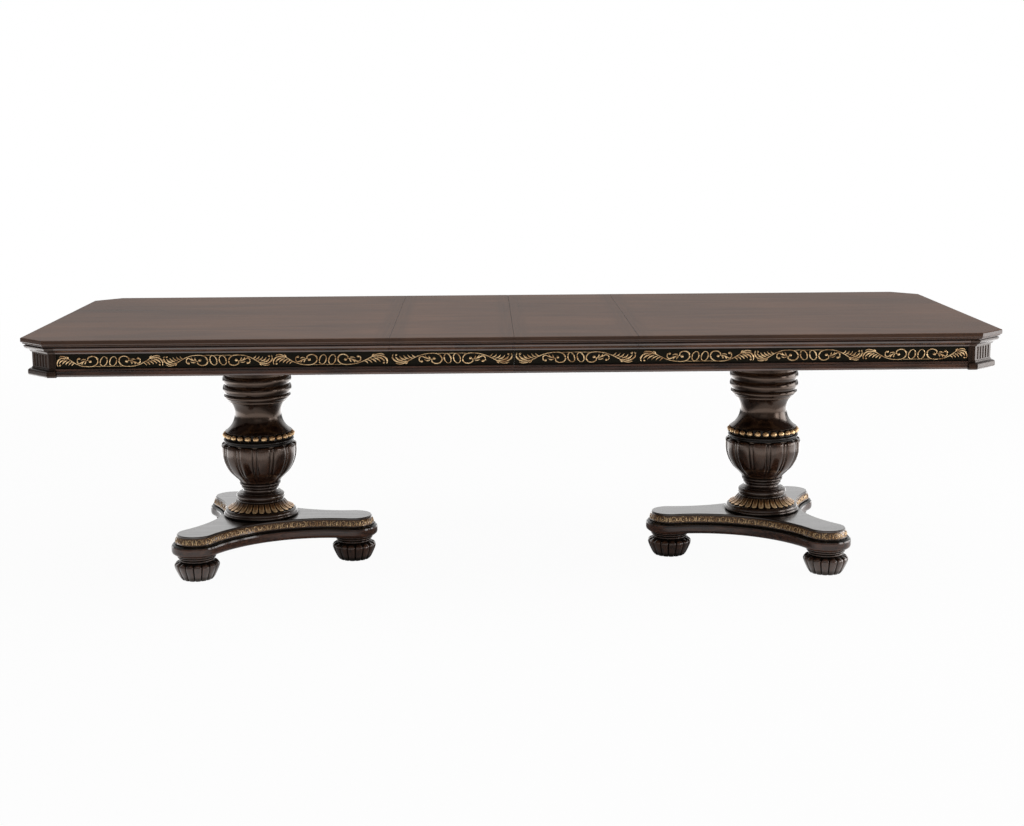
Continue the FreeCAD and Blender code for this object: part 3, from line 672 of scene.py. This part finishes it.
def turned_bmesh(outline, sectors, steps, carve=None):
    """Spins one sector of an outline, carves it, and repeats it round Z."""
    sector = bmesh.new()
    glaze_and_shade = sector.verts.layers.float.new("glaze_and_shade")
    gilding_with_painted_light = sector.verts.layers.float.new("gilding_with_painted_light")
    verts = [sector.verts.new(Vector((point.x, 0, point.y)) * 0.001) for point in outline]
    edges = [sector.edges.new(pair) for pair in zip(verts, verts[1:])]
    if outline[0].x > 0:
        edges.append(sector.edges.new((verts[-1], verts[0])))
    bmesh.ops.spin(sector, geom=verts + edges, cent=(0, 0, 0), axis=(0, 0, 1),
                   angle=tau / sectors, steps=steps)
    for vert in sector.verts:
        radius = hypot(vert.co.x, vert.co.y) * 1000
        if carve is None or radius < ROD_BORE_MM + 1:
            continue
        angle = atan2(vert.co.y, vert.co.x)
        depth, glazed_and_shaded, gilded = carve(angle, radius, vert.co.z * 1000)
        share = (radius + depth) / radius
        vert.co.x *= share
        vert.co.y *= share
        vert[glaze_and_shade] = glazed_and_shaded
        vert[gilding_with_painted_light] = gilded
    return repeat_round(sector, sectors)


def lobe_share(angle, count):
    """0 at the middle of a lobe and 1 midway between two."""
    turn = angle / tau * count
    return abs(turn - round(turn)) * 2


def add_to_pedestal(bm, side, name, finish_name, replaced=None, turn=None, within=Matrix(),
                    smooth_angle=40):
    """Carries a piece from a pedestal at the origin to a column, turned with it, and finishes it."""
    low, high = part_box(f"{side}_collar")
    axis = Matrix.Translation(((low.x + high.x) / 2, (low.y + high.y) / 2, 0))
    upright = axis @ turned(COLUMN_TURN[side] if turn is None else turn)
    bmesh.ops.transform(bm, matrix=upright @ within, verts=bm.verts)
    finish_piece(bm, f"{side}_{name}", finish_name, f"{side}_half", smooth_angle,
                 [f"{side}_{replaced}"] if replaced else ())


# Pedestal carving: the depth, the glazing with painted shade, and the gold leaf (with painted light on the
# petals) at a point of a turned surface
UNCARVED = (0.0, 0.0, 0.0)


def carve_urn(angle, radius, height):
    """Broad lobes with rounded heads, and a narrow reed between each two."""
    carving = settings().carving
    depth = carving.urn_groove * 1000
    lobe_width = 0.76
    quirk_radius = 109.0
    core_radius = 40
    if radius < core_radius:
        return UNCARVED
    place = lobe_share(angle, carving.urn_lobes)
    if place < lobe_width:
        across = place / lobe_width
        offset = -depth * (1 - sqrt(1 - across**5))
        head = URN_HEAD_MM - 1.5 - 3.5 * across**3
    else:
        across = (place - lobe_width) / (1 - lobe_width)
        offset = -depth * (1 - 0.62 * sin(across * pi / 2))
        head = URN_HEAD_MM - 6
    groove = ridge(place - lobe_width, 0.07)
    fall = smooth_step(head, head + 2.2, height)
    offset *= 0.45 + 0.55 * smooth_step(URN_FOOT_MM, URN_FOOT_MM + 21, height)
    offset += fall * min(0.0, quirk_radius - radius - offset)
    # Glazing and painted shade in the grooves and where the lobes fall in under their heads.
    return offset, max(0.9 * groove, fall), 0.0


def urn_outline():
    body = flowing_outline(
        [(65, URN_FOOT_MM), (69.5, 261), (80, 271), (95, 286), (106, 303), (113.5, 319), (118.5, 336),
         (120.5, 352), (120.5, 365)], step_mm=2.0)
    head = flowing_outline(
        [(120.5, 365), (120, 371), (118.5, 375.5), (115.5, 378.5), (112, URN_HEAD_MM)], step_mm=0.7)
    return [Vector((ROD_BORE_MM, URN_FOOT_MM))] + body + head[1:] + [Vector((ROD_BORE_MM, URN_HEAD_MM))]


def carve_petals(angle, radius, height):
    """Broad tongues with raised rims and a narrow gap between each two: gold paler on the rims as a painted
    highlight, dark at the root as painted shade, and the gap black with glazing and painted shade.
    """
    lowest_tip = 167.4
    half_width = 0.74
    gap_depth = 3.2
    neck_radius = 60
    if not lowest_tip - 0.9 < height < SKIRT_HEAD_MM + 0.5 or radius < neck_radius:
        return UNCARVED
    place = lobe_share(angle, settings().carving.petal_count)
    across = min(place / half_width, 1.0)
    tip = lowest_tip + 3.0 * across**4
    petal = 1 - smooth_step(half_width - 0.05, half_width + 0.09, place)
    petal *= smooth_step(tip - 0.8, tip + 0.4, height)
    petal *= 1 - smooth_step(SKIRT_HEAD_MM - 2.5, SKIRT_HEAD_MM - 0.5, height)
    rim = max(ridge(across - 0.85, 0.18), ridge(height - tip - 1.2, 1.3))
    offset = petal * (0.4 + 0.9 * (1 - across**2) + 0.9 * rim) - gap_depth * (1 - petal)
    # Painted light on the gold: it lightens down towards the tips, and the rims get a painted highlight.
    painted_light_towards_tip = 1 - smooth_step(SKIRT_HEAD_MM - 18, SKIRT_HEAD_MM - 4, height)
    gilded = petal * min(1.0, 0.10 + 0.68 * painted_light_towards_tip + 0.75 * rim * (0.55 + 0.45 * painted_light_towards_tip))
    return offset, 1 - petal, gilded


def stem_outline():
    disc = arc_outline(
        [(ROD_BORE_MM, STEM_FOOT_MM, 0), (114, STEM_FOOT_MM, 0), (114, 155, 4.5), (103, 165, 3.5),
         (98, 165, 0), (98, 166.6, 0)])
    skirt = flowing_outline(
        [(104, 166.8), (106, 167.2), (96.5, 171), (87, 177), (79.5, 185), (76, SKIRT_HEAD_MM)], step_mm=0.8)
    neck = arc_outline(
        [(72, SKIRT_HEAD_MM, 0), (72, 195, 0.8), (70, 196, 0), (70, 216, 7), (66, 217, 0), (66, 219, 0.6),
         (60, 220, 0), (55, 227, -1.5), (58, 233, -1), (58, 241, 3), (60, 242, 0), (61, 243, 0),
         (61, 252, 5), (62, URN_FOOT_MM, 0), (ROD_BORE_MM, URN_FOOT_MM, 0)], step_mm=1.0)
    return disc + skirt + neck


def carve_foot(angle, radius, height):
    """Gadroons up the bun, each with a rounded head below the neck."""
    groove_depth = 3.6
    head_depth = 4.5
    core_radius = 30
    if height > BUN_HEAD_MM + 0.5 or radius < core_radius:
        return UNCARVED
    place = lobe_share(angle, settings().carving.foot_lobes)
    groove = ridge(1 - place, 0.16)
    offset = -groove_depth * groove - 1.6 * place**2
    head = BUN_HEAD_MM - 4 - 7.0 * place**2
    fall = smooth_step(head, head + 3.5, height)
    # Glazing and painted shade in the grooves and where the gadroons fall in under their heads.
    return offset - head_depth * fall, max(0.85 * groove, 0.9 * fall), 0.0


def foot_outline():
    bun = flowing_outline(
        [(49, 0), (55, 8), (62, 22), (67.5, 35), (69.5, 44), (67, 50), (61, 55), (57, BUN_HEAD_MM)],
        step_mm=1.2)
    neck = arc_outline(
        [(51, BUN_HEAD_MM, 0), (51, 65, 3.5), (54, 66, 0), (56, 67, 0), (56, 73, 3), (59, 74, 0),
         (61, 75, 0), (61, 81, 3), (12, 81, 0), (12, 106, 0), (0, 106, 0)], step_mm=1.0)
    return [Vector((0, 0))] + bun + neck


def bead_ring_outline():
    return arc_outline(
        [(ROD_BORE_MM, URN_HEAD_MM, 0), (106, URN_HEAD_MM, 0), (106, 385, 0), (109.5, 386, 0),
         (109.5, 394, 1.8), (104, 395, 0), (104, 417, -2.0), (106, VASE_FOOT_MM, 0),
         (ROD_BORE_MM, VASE_FOOT_MM, 0)], step_mm=1.0)


def bead_bmesh(count):
    """A ring of oval beads."""
    centre_radius = 0.1062
    height = 0.4062
    half_sizes = (0.0086, 0.0100, 0.0080)
    bead = bmesh.new()
    bmesh.ops.create_uvsphere(bead, u_segments=16, v_segments=10, radius=1.0)
    shape = Matrix.Diagonal((*half_sizes, 1.0))
    place = Matrix.Translation((centre_radius, 0, height)) @ shape
    bmesh.ops.transform(bead, matrix=place, verts=bead.verts)
    return repeat_round(bead, count)


# Relief ornament drawn with tapered strokes


def new_strokes(thickness_mm, smoothness=5, roundness=2):
    curve = bpy.data.curves.new("strokes", "CURVE")
    curve.dimensions = "3D"
    curve.twist_mode = "Z_UP"
    curve.bevel_depth = thickness_mm
    curve.bevel_resolution = roundness
    curve.resolution_u = smoothness
    curve.use_fill_caps = True
    return curve


def add_stroke(curve, points, widths, closed=False):
    """One smooth stroke through (x, z) points, its thickness running through the widths."""
    spline = curve.splines.new("BEZIER")
    spline.bezier_points.add(len(points) - 1)
    spline.use_cyclic_u = closed
    for k, (x, z) in enumerate(points):
        knot = spline.bezier_points[k]
        knot.co = (x, 0, z)
        knot.handle_left_type = knot.handle_right_type = "AUTO"
        place = k / (len(points) - 1) * (len(widths) - 1)
        first = min(int(place), len(widths) - 2)
        knot.radius = widths[first] + (widths[first + 1] - widths[first]) * (place - first)


def add_leaflet(curve, root, tip, width):
    """A short leaf that swells and comes to a point."""
    sag = 0.12
    middle = ((root[0] + tip[0]) / 2 + sag * (tip[1] - root[1]),
              (root[1] + tip[1]) / 2 - sag * (tip[0] - root[0]))
    add_stroke(curve, [root, middle, tip], [0.45 * width, width, 0.22 * width])


def stroke_bmesh(curve):
    """The strokes of a curve as a bmesh, and the curve removed."""
    drawn = new_object("strokes", curve)
    bpy.context.view_layer.update()
    mesh = bpy.data.meshes.new_from_object(drawn.evaluated_get(bpy.context.evaluated_depsgraph_get()))
    bpy.data.objects.remove(drawn)
    bpy.data.curves.remove(curve)
    bm = bmesh.new()
    bm.from_mesh(mesh)
    bpy.data.meshes.remove(mesh)
    return bm


def motif_place(x, reach):
    """A place along a motif whose outer part is drawn in to a shorter reach."""
    drawn = (reach - MOTIF_CORE_MM) / (MOTIF_REACH_MM - MOTIF_CORE_MM)
    return x if x < MOTIF_CORE_MM else MOTIF_CORE_MM + (x - MOTIF_CORE_MM) * drawn


def draw_half_motif(curve, reach, lean):
    """Right half of one motif: oval, scroll, stem, sprig and feathered leaf."""
    def out(points):
        return [(motif_place(x, reach), z) for x, z in points]

    half_height = 13.6
    angles = [k * tau / 8 for k in range(8)]
    oval = [(13.4 + 9.6 * cos(a) + lean * half_height * sin(a), half_height * sin(a))
            for a in angles]
    add_stroke(curve, oval, [1.1, 0.85, 0.55, 0.85, 1.1, 0.85, 0.55, 0.85], closed=True)
    add_stroke(curve, [(43, 13.8), (30, 14.8), (15, 14.4), (0, 14.8)], [0.4, 0.5, 0.45])
    stem = [(134, -14.8), (128, -7.9), (118, -2), (104, 5), (91, 9.8), (79, 13)]
    scroll = [(61, 15), (50, 14.9), (40, 12.4), (32.5, 6), (30, -2), (33.5, -10.5), (43, -14.6),
              (53, -12.8), (58.8, -7.4), (58, -1.5)]
    add_stroke(curve, out(stem) + scroll, [0.6, 0.9, 0.8, 0.8, 0.9, 1.15, 1.2, 1.1, 0.9])
    outer_leaf = [(127, -7), (138, -8.6), (150, -10), (161, -7.2), (169, -0.5), (171.5, 6), (169.5, 13.5)]
    add_stroke(curve, out(outer_leaf), [0.7, 1.1, 1.3, 1.5, 1.3, 0.5])
    under_leaf = [(131, -8.5), (138, -12.6), (147, -15), (157, -14.6), (163, -12)]
    add_stroke(curve, out(under_leaf), [0.6, 1.1, 1.3, 0.4])
    for k in range(5):
        root = (105 + 9.2 * k, 4.2 - 2.6 * k)
        tip = (root[0] + 11 + 2.6 * k, root[1] + 8.6 + 0.9 * k)
        add_leaflet(curve, *out([root, tip]), 1.2 + 0.18 * k)
    add_leaflet(curve, *out([(128, -8), (135, -15.5)]), 1.5)
    sprig = [(60, -2.5), (69, -0.5), (79, 3), (87, 6.4), (93, 4), (95, -2), (93, -7.5), (88, -9)]
    add_stroke(curve, out(sprig), [0.6, 1.2, 1.1, 0.9, 0.9])
    for root, tip in (((63, 0), (67, 8.5)), ((64, -5.5), (80, -3.2)), ((70, 0), (78, 9.5))):
        add_leaflet(curve, *out([root, tip]), 1.3)


def half_motif(reach, lean):
    """A mesh of half a motif in metres, in the XZ plane, with a ball at the end of each curl."""
    curve = new_strokes(settings().carving.relief * 1000)
    draw_half_motif(curve, reach, lean)
    bm = stroke_bmesh(curve)
    for x, z, radius in ((52, 0.3, 4.7), (161, 11, 3.3), (87.5, -8.2, 4.0)):
        ball = bmesh.ops.create_icosphere(bm, subdivisions=2, radius=radius)
        bmesh.ops.translate(bm, verts=ball["verts"], vec=(motif_place(x, reach), 0, z))
    bmesh.ops.scale(bm, verts=bm.verts, vec=(0.001, 0.001, 0.001))
    return mesh_of(bm, "half_motif")


def add_motif(bm, low_reach, high_reach, matrix):
    """Both halves of a motif, added to a bmesh at a place."""
    lean = -0.20
    for reach, sign in ((low_reach, -1), (high_reach, 1)):
        mesh = half_motif(reach, sign * lean)
        add_mesh(bm, mesh, matrix @ Matrix.Diagonal((sign, 1, 1, 1)))
        bpy.data.meshes.remove(mesh)


def frieze_bmesh(motifs, turn, face_distance):
    """Motifs (middle, low reach, high reach, flip) along a face that is turned about Z."""
    middle_height = (FRIEZE_FOOT + FRIEZE_HEAD) / 2 - 0.0008
    bm = bmesh.new()
    for middle, low_reach, high_reach, flip in motifs:
        place = turned(turn) @ Matrix.Translation((middle, -face_distance, middle_height))
        add_motif(bm, low_reach, high_reach, place @ Matrix.Diagonal((1, 1, flip, 1)))
    return bm


def half_run(side):
    """The three motifs of a half's long apron, counted from its seam outwards."""
    shared_reach = MOTIF_PITCH_MM / 2 - 1
    run = []
    for k in range(3):
        middle = side * (SEAM_X + (FIRST_MOTIF_MM + MOTIF_PITCH_MM * k) * 0.001)
        inward = MOTIF_REACH_MM if k == 0 else shared_reach
        outward = POST_REACH_MM if k == 2 else shared_reach
        low, high = (inward, outward) if side > 0 else (outward, inward)
        run.append((middle, low, high, 1 if k == 1 else -1))
    return run


def end_run():
    """The three motifs of an end apron."""
    return [(END_PITCH * k, POST_REACH_MM, POST_REACH_MM, 1 if k == 0 else -1) for k in (-1, 0, 1)]


def leaf_run(side):
    """The one motif of a leaf's apron."""
    return [(side * SEAM_X / 2, MOTIF_REACH_MM, MOTIF_REACH_MM, 1)]


# Plinth band


def triform_places(offset_mm, pitch):
    """Points and outward angles, evenly spaced round the three-lobed plinth at the origin."""
    reach = LOBE_RADIUS_MM + HOLLOW_RADIUS_MM
    half = FOOT_CIRCLE_MM / 2
    hollow_distance = half + sqrt(reach**2 - FOOT_CIRCLE_MM**2 + half**2)
    towards = hollow_distance * Vector((0.5, sqrt(0.75))) - Vector((FOOT_CIRCLE_MM, 0))
    contact = atan2(towards.y, towards.x)
    lobe = (FOOT_CIRCLE_MM, LOBE_RADIUS_MM + offset_mm, contact, 0)
    hollow = (hollow_distance, HOLLOW_RADIUS_MM - offset_mm, radians(60) - contact, pi)
    places = []
    for k in range(6):
        distance, radius, half_sweep, facing = hollow if k % 2 else lobe
        centre = polar(distance, radians(60 * k))
        count = round(2 * abs(half_sweep) * radius * 0.001 / pitch)
        for j in range(count):
            angle = radians(60 * k) + facing + half_sweep * (2 * (j + 0.5) / count - 1)
            places.append((centre + polar(radius, angle), angle + facing))
    return places


def band_leaf(kind):
    """One small leaf or scroll of the plinth band in metres, facing -Y."""
    curve = new_strokes(1.0, smoothness=2, roundness=1)
    if kind == "scroll":
        scroll = [(4, 7), (-1, 8.5), (-4.5, 4), (-4.5, -3), (-1, -7.5), (4, -6), (3.5, -1.5), (0.5, -1.5)]
        add_stroke(curve, scroll, [0.8, 1.5, 1.7, 1.4, 1.0])
    else:
        add_stroke(curve, [(-1.5, -8.5), (-0.5, -3), (0.3, 3), (2.2, 8.5)], [0.7, 2.4, 2.0, 0.5])
        add_leaflet(curve, (-2.5, -3), (-4.2, 6.5), 1.4)
        add_leaflet(curve, (2.5, -7.5), (4.2, 0.5), 1.3)
    bm = stroke_bmesh(curve)
    bmesh.ops.scale(bm, verts=bm.verts, vec=(0.001, 0.0008, 0.001))
    return mesh_of(bm, "band_leaf")


def plinth_band_bmesh():
    """Leaves and scrolls along the hollow band of the plinth, at the origin."""
    band_height = 0.1265
    band_offset_mm = 3.9
    most_sway = 0.22
    lean = turned(-19, "X")
    shapes = {kind: band_leaf(kind) for kind in ("leaf", "scroll")}
    bm = bmesh.new()
    for k, (point, angle) in enumerate(triform_places(band_offset_mm, settings().carving.leaf_pitch)):
        kind = "scroll" if k % 3 == 1 else "leaf"
        sway = Matrix.Rotation(most_sway * sin(2.4 * k), 4, "Y")
        mirrored = Matrix.Diagonal((-1 if k % 4 < 2 else 1, 1, 0.9 + 0.1 * cos(1.7 * k), 1))
        place = Matrix.Translation((point.x * 0.001, point.y * 0.001, band_height))
        place = place @ Matrix.Rotation(angle + pi / 2, 4, "Z") @ lean
        add_mesh(bm, shapes[kind], place @ sway @ mirrored)
    for shape in shapes.values():
        bpy.data.meshes.remove(shape)
    return bm


# Studio


def set_world(scene, stage):
    """Even light, and white paper where a ray sees the world itself: dim to a mirror in front."""
    world = bpy.data.worlds.new("studio")
    scene.world = world
    world.use_nodes = True
    tree = world.node_tree
    tree.nodes.clear()
    paper = (1.0, 1.0, 1.0)
    dim_room = (0.30, 0.30, 0.30)
    light = node(tree, "Background", {"Color": paper, "Strength": stage.world})
    backwards = along_axis(tree, node(tree, "TexCoord").outputs["Generated"], "Y")
    mirrored = blend(tree, remap(tree, backwards, 0.25, 0.8), dim_room, paper)
    rays = node(tree, "LightPath").outputs
    seen = blend(tree, rays["Is Glossy Ray"], paper, mirrored)
    white = node(tree, "Background", {"Color": seen, "Strength": 1.0})
    directly = highest(tree, rays["Is Camera Ray"], rays["Is Glossy Ray"])
    directly = highest(tree, directly, rays["Is Transmission Ray"])
    node(tree, "OutputWorld", {"Surface": mix_shaders(tree, directly, light, white)})


def set_floor(stage):
    """White paper to the camera; in a mirror the floor glows, with a painted shadow of the table and
    painted dimming away from it.
    """
    floor_size = 40.0
    bm = bmesh.new()
    bmesh.ops.create_grid(bm, x_segments=8, y_segments=8, size=floor_size)
    floor = new_object("floor", mesh_of(bm, "floor"))
    tree, shader, place = new_material("studio_floor")
    surface = shader.outputs[0].links[0].to_socket
    set_sockets(tree, shader, {
        "Base Color": blend(tree, mottle(tree, place, 0.6), toned(stage.floor, 0.985), stage.floor),
        "Roughness": 0.9, "Specular IOR Level": 0.1})
    shortened = node(tree, "Mapping", {"Vector": place, "Scale": (0.5, 1, 1)}).outputs[0]
    from_table = node(tree, "VectorMath", {"Vector": shortened}, operation="LENGTH").outputs["Value"]
    whiteness = remap(tree, from_table, 1.0, 7.0, 0.96, 1.0)
    # Painted shadow of the table, and painted dimming away from it, in the glow that mirrors see.
    below = remap(tree, from_table, 0.34, 0.62, 0.15, 1.0)
    far = remap(tree, from_table, 2.2, 3.8, 1.0, 0.2)
    rays = node(tree, "LightPath").outputs
    is_glossy = rays["Is Glossy Ray"]
    direct = highest(tree, rays["Is Camera Ray"], rays["Is Transmission Ray"])
    strength = arithmetic(tree, "ADD", direct, multiply(tree, is_glossy, multiply(tree, below, far)))
    share = arithmetic(tree, "ADD", multiply(tree, direct, whiteness), is_glossy)
    glow = node(tree, "Emission", {"Color": (1.0, 1.0, 1.0), "Strength": strength})
    feed(tree, surface, mix_shaders(tree, share, shader, glow))
    floor.data.materials.append(material("studio_floor"))


def set_lamps(stage):
    set_lamp("ceiling_softbox", stage.ceiling_lamp, size=(4.4, 2.6),
             place=(0, -0.4, TABLE_HIGH.z + 2.4), target=(0, 0, 0.7))
    set_lamp("key_softbox", stage.key_lamp, size=(1.2, 1.6),
             place=(4.0, -1.8, 1.0), target=(0.2, 0, 0.4))
    set_lamp("side_softbox", stage.side_lamp, size=(2.2, 1.6),
             place=(4.1, 0.5, 0.9), target=(1.2, 0, 0.7))
    set_lamp("front_softbox", stage.front_lamp, size=(4.4, 1.8),
             place=(0, -7.5, 1.7), target=(0, 0, 0.5))
    set_floor_lamp("front_floor_strip", stage.floor_lamp, size=(8.0, 2.2), x=0, y=-1.9)
    set_floor_lamp("back_floor_strip", stage.rim_lamp, size=(8.0, 1.7), x=0, y=1.7)
    for side, sign in SIDES.items():
        set_floor_lamp(f"{side}_floor_patch", stage.end_lamp, size=(2.0, 1.7), x=2.9 * sign, y=0)


def set_lamp(name, power, size, place, target):
    lamp = bpy.data.lights.new(name, "AREA")
    lamp.shape = "RECTANGLE"
    lamp.size, lamp.size_y = size
    lamp.energy = power
    holder = new_object(name, lamp)
    holder.location = place
    holder.visible_camera = False
    aim = Vector(target) - Vector(place)
    holder.rotation_euler = aim.to_track_quat("-Z", "Y").to_euler()


def set_floor_lamp(name, power, size, x, y):
    """A lamp that lies on the floor and shines upwards."""
    lift = 0.01
    set_lamp(name, power, size, place=(x, y, lift), target=(x, y, 1))


def set_camera(scene):
    lens = bpy.data.cameras.new("camera")
    lens.sensor_width = SENSOR_WIDTH
    lens.lens = CAMERA_LENS
    camera = new_object("camera", lens)
    aim = turned(-CAMERA_YAW) @ turned(90 - CAMERA_PITCH, "X") @ turned(CAMERA_ROLL)
    camera.matrix_world = Matrix.Translation(CAMERA_PLACE) @ aim
    scene.camera = camera


# Operators


class TABLE_OT_finishes(bpy.types.Operator):
    """Mix the finishes and give each solid of the table its own"""

    bl_idname = "dining_table.finishes"
    bl_label = "Finishes"

    def execute(self, context):
        apron = {"tone": 1.2, "satin": 0.06, "gloss": 0.85, "reach": 0.006}
        # The columns' cherry is darkened to a low tone as painted shade under the top.
        cherry_material("shade_darkened_column_cherry", "Z", tone=0.18, satin=0.5, gloss=0.14, polish=TURNED_POLISH)
        cherry_material("urn_cherry", "Z", tone=0.6, satin=0.38, gloss=0.3, reach=0.012,
                        polish=TURNED_POLISH)
        cherry_material("apron_cherry", "X", frieze_faces="Y", **apron)
        cherry_material("end_apron_cherry", "Y", frieze_faces="X", **apron)
        cherry_material("post_cherry", "Z", glaze_share=0.65, satin=0.2, gloss=0.2)
        cherry_material("plinth_cherry", "X", tone=1.5, gloss=0.75, black_above=PLINTH_QUIRK)
        plinth_material("plinth_black")
        cherry_material("ring_black", "Z", glaze_share=0.92)
        cherry_material("foot_cherry", "Z", tone=1.3, glaze_share=0.1, satin=0.25, gloss=0.9)
        veneer_material("top_veneer")
        gold_material("antique_gold")
        gold_material("toned_gold", tone_share=0.8, glaze_and_shade_reach=0.005, metal=0.5)
        petal_material("petal_gilding")
        plain_wood_material("bearer_wood", "Y")
        plain_wood_material("rail_wood", "X")
        steel_material("zinc_steel")
        for name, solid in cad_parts.items():
            solid.data.materials.clear()
            solid.data.materials.append(material(finish_of(name)))
        return {"FINISHED"}


class TABLE_OT_urns(bpy.types.Operator):
    """Carve the urn of each pedestal"""

    bl_idname = "dining_table.urns"
    bl_label = "Urns"

    def execute(self, context):
        steps_per_lobe = 36
        for side in SIDES:
            bm = turned_bmesh(urn_outline(), settings().carving.urn_lobes, steps_per_lobe, carve_urn)
            add_to_pedestal(bm, side, "urn_carved", "urn_cherry", "urn", URN_TURN)
        return {"FINISHED"}


class TABLE_OT_stems(bpy.types.Operator):
    """Carve the petal skirt and turn the stem of each pedestal"""

    bl_idname = "dining_table.stems"
    bl_label = "Stems"

    def execute(self, context):
        steps_per_petal = 16
        for side in SIDES:
            bm = turned_bmesh(stem_outline(), settings().carving.petal_count, steps_per_petal, carve_petals)
            add_to_pedestal(bm, side, "stem_carved", "petal_gilding", "stem")
        return {"FINISHED"}


class TABLE_OT_feet(bpy.types.Operator):
    """Carve the three bun feet of each pedestal"""

    bl_idname = "dining_table.feet"
    bl_label = "Feet"

    def execute(self, context):
        steps_per_lobe = 18
        for side, sign in SIDES.items():
            for foot, turn in (("inner", 0), ("front", 120 * sign), ("back", -120 * sign)):
                bm = turned_bmesh(foot_outline(), settings().carving.foot_lobes, steps_per_lobe, carve_foot)
                out = Matrix.Translation((FOOT_CIRCLE_MM * 0.001, 0, 0))
                add_to_pedestal(bm, side, f"foot_{foot}_carved", "foot_cherry",
                                f"foot_{foot}", within=turned(turn) @ out)
        return {"FINISHED"}


class TABLE_OT_beads(bpy.types.Operator):
    """Turn the black ring above each urn and set its gilded beads"""

    bl_idname = "dining_table.beads"
    bl_label = "Bead rings"

    def execute(self, context):
        sectors = 12
        steps_per_sector = 15
        for side in SIDES:
            ring = turned_bmesh(bead_ring_outline(), sectors, steps_per_sector)
            add_to_pedestal(ring, side, "bead_ring_turned", "ring_black", "bead_ring")
            beads = bead_bmesh(settings().carving.bead_count)
            add_to_pedestal(beads, side, "beads", "antique_gold")
        return {"FINISHED"}


class TABLE_OT_frieze(bpy.types.Operator):
    """Lay the gilded scrolls on every apron"""

    bl_idname = "dining_table.frieze"
    bl_label = "Frieze carving"

    def execute(self, context):
        long_face = TABLE_HIGH.y - FRIEZE_INSET
        end_face = TABLE_HIGH.x - FRIEZE_INSET
        for side, sign in SIDES.items():
            runs = (
                (f"{side}_front_scrolls", half_run(sign), 0, long_face, f"{side}_half"),
                (f"{side}_back_scrolls", half_run(-sign), 180, long_face, f"{side}_half"),
                (f"{side}_end_scrolls", end_run(), 90 * sign, end_face, f"{side}_half"),
                (f"leaf_{side}_front_scrolls", leaf_run(sign), 0, long_face, f"leaf_{side}"),
                (f"leaf_{side}_back_scrolls", leaf_run(-sign), 180, long_face, f"leaf_{side}"),
            )
            for name, motifs, turn, distance, body in runs:
                bm = frieze_bmesh(motifs, turn, distance)
                finish_piece(bm, name, "antique_gold", body, smooth_angle=60)
        return {"FINISHED"}


class TABLE_OT_plinth_bands(bpy.types.Operator):
    """Lay the gilded leaves round each plinth"""

    bl_idname = "dining_table.plinth_bands"
    bl_label = "Plinth bands"

    def execute(self, context):
        for side in SIDES:
            leaves = plinth_band_bmesh()
            add_to_pedestal(leaves, side, "plinth_leaves", "toned_gold", smooth_angle=60)
        return {"FINISHED"}


class TABLE_OT_stage(bpy.types.Operator):
    """Set the floor, the lamps, the world and the camera"""

    bl_idname = "dining_table.stage"
    bl_label = "Studio"

    def execute(self, context):
        stage = settings().stage
        scene = context.scene
        scene.view_settings.view_transform = "Standard"
        set_world(scene, stage)
        set_floor(stage)
        set_lamps(stage)
        set_camera(scene)
        return {"FINISHED"}


OPERATORS = (TABLE_OT_finishes, TABLE_OT_urns, TABLE_OT_stems, TABLE_OT_feet, TABLE_OT_beads,
             TABLE_OT_frieze, TABLE_OT_plinth_bands, TABLE_OT_stage)


class TABLE_PT_sidebar(bpy.types.Panel):
    """Lists the steps that dress the table"""

    bl_idname = "TABLE_PT_sidebar"
    bl_label = "Dining table"
    bl_space_type = "VIEW_3D"
    bl_region_type = "UI"
    bl_category = "Table"

    def draw(self, context):
        for step in OPERATORS:
            self.layout.operator(step.bl_idname)
        for group in (settings().finish, settings().carving, settings().stage):
            column = self.layout.column()
            for name in group.__annotations__:
                column.prop(group, name)


CLASSES = (FinishSettings, CarvingSettings, StageSettings, TableSettings, *OPERATORS, TABLE_PT_sidebar)


def register():
    for one in CLASSES:
        bpy.utils.register_class(one)
    bpy.types.Scene.dining_table = PointerProperty(type=TableSettings)


def unregister():
    del bpy.types.Scene.dining_table
    for one in reversed(CLASSES):
        bpy.utils.unregister_class(one)


def main():
    register()
    for step in OPERATORS:
        group, name = step.bl_idname.split(".")
        getattr(getattr(bpy.ops, group), name)()


if __name__ == "__main__":
    main()
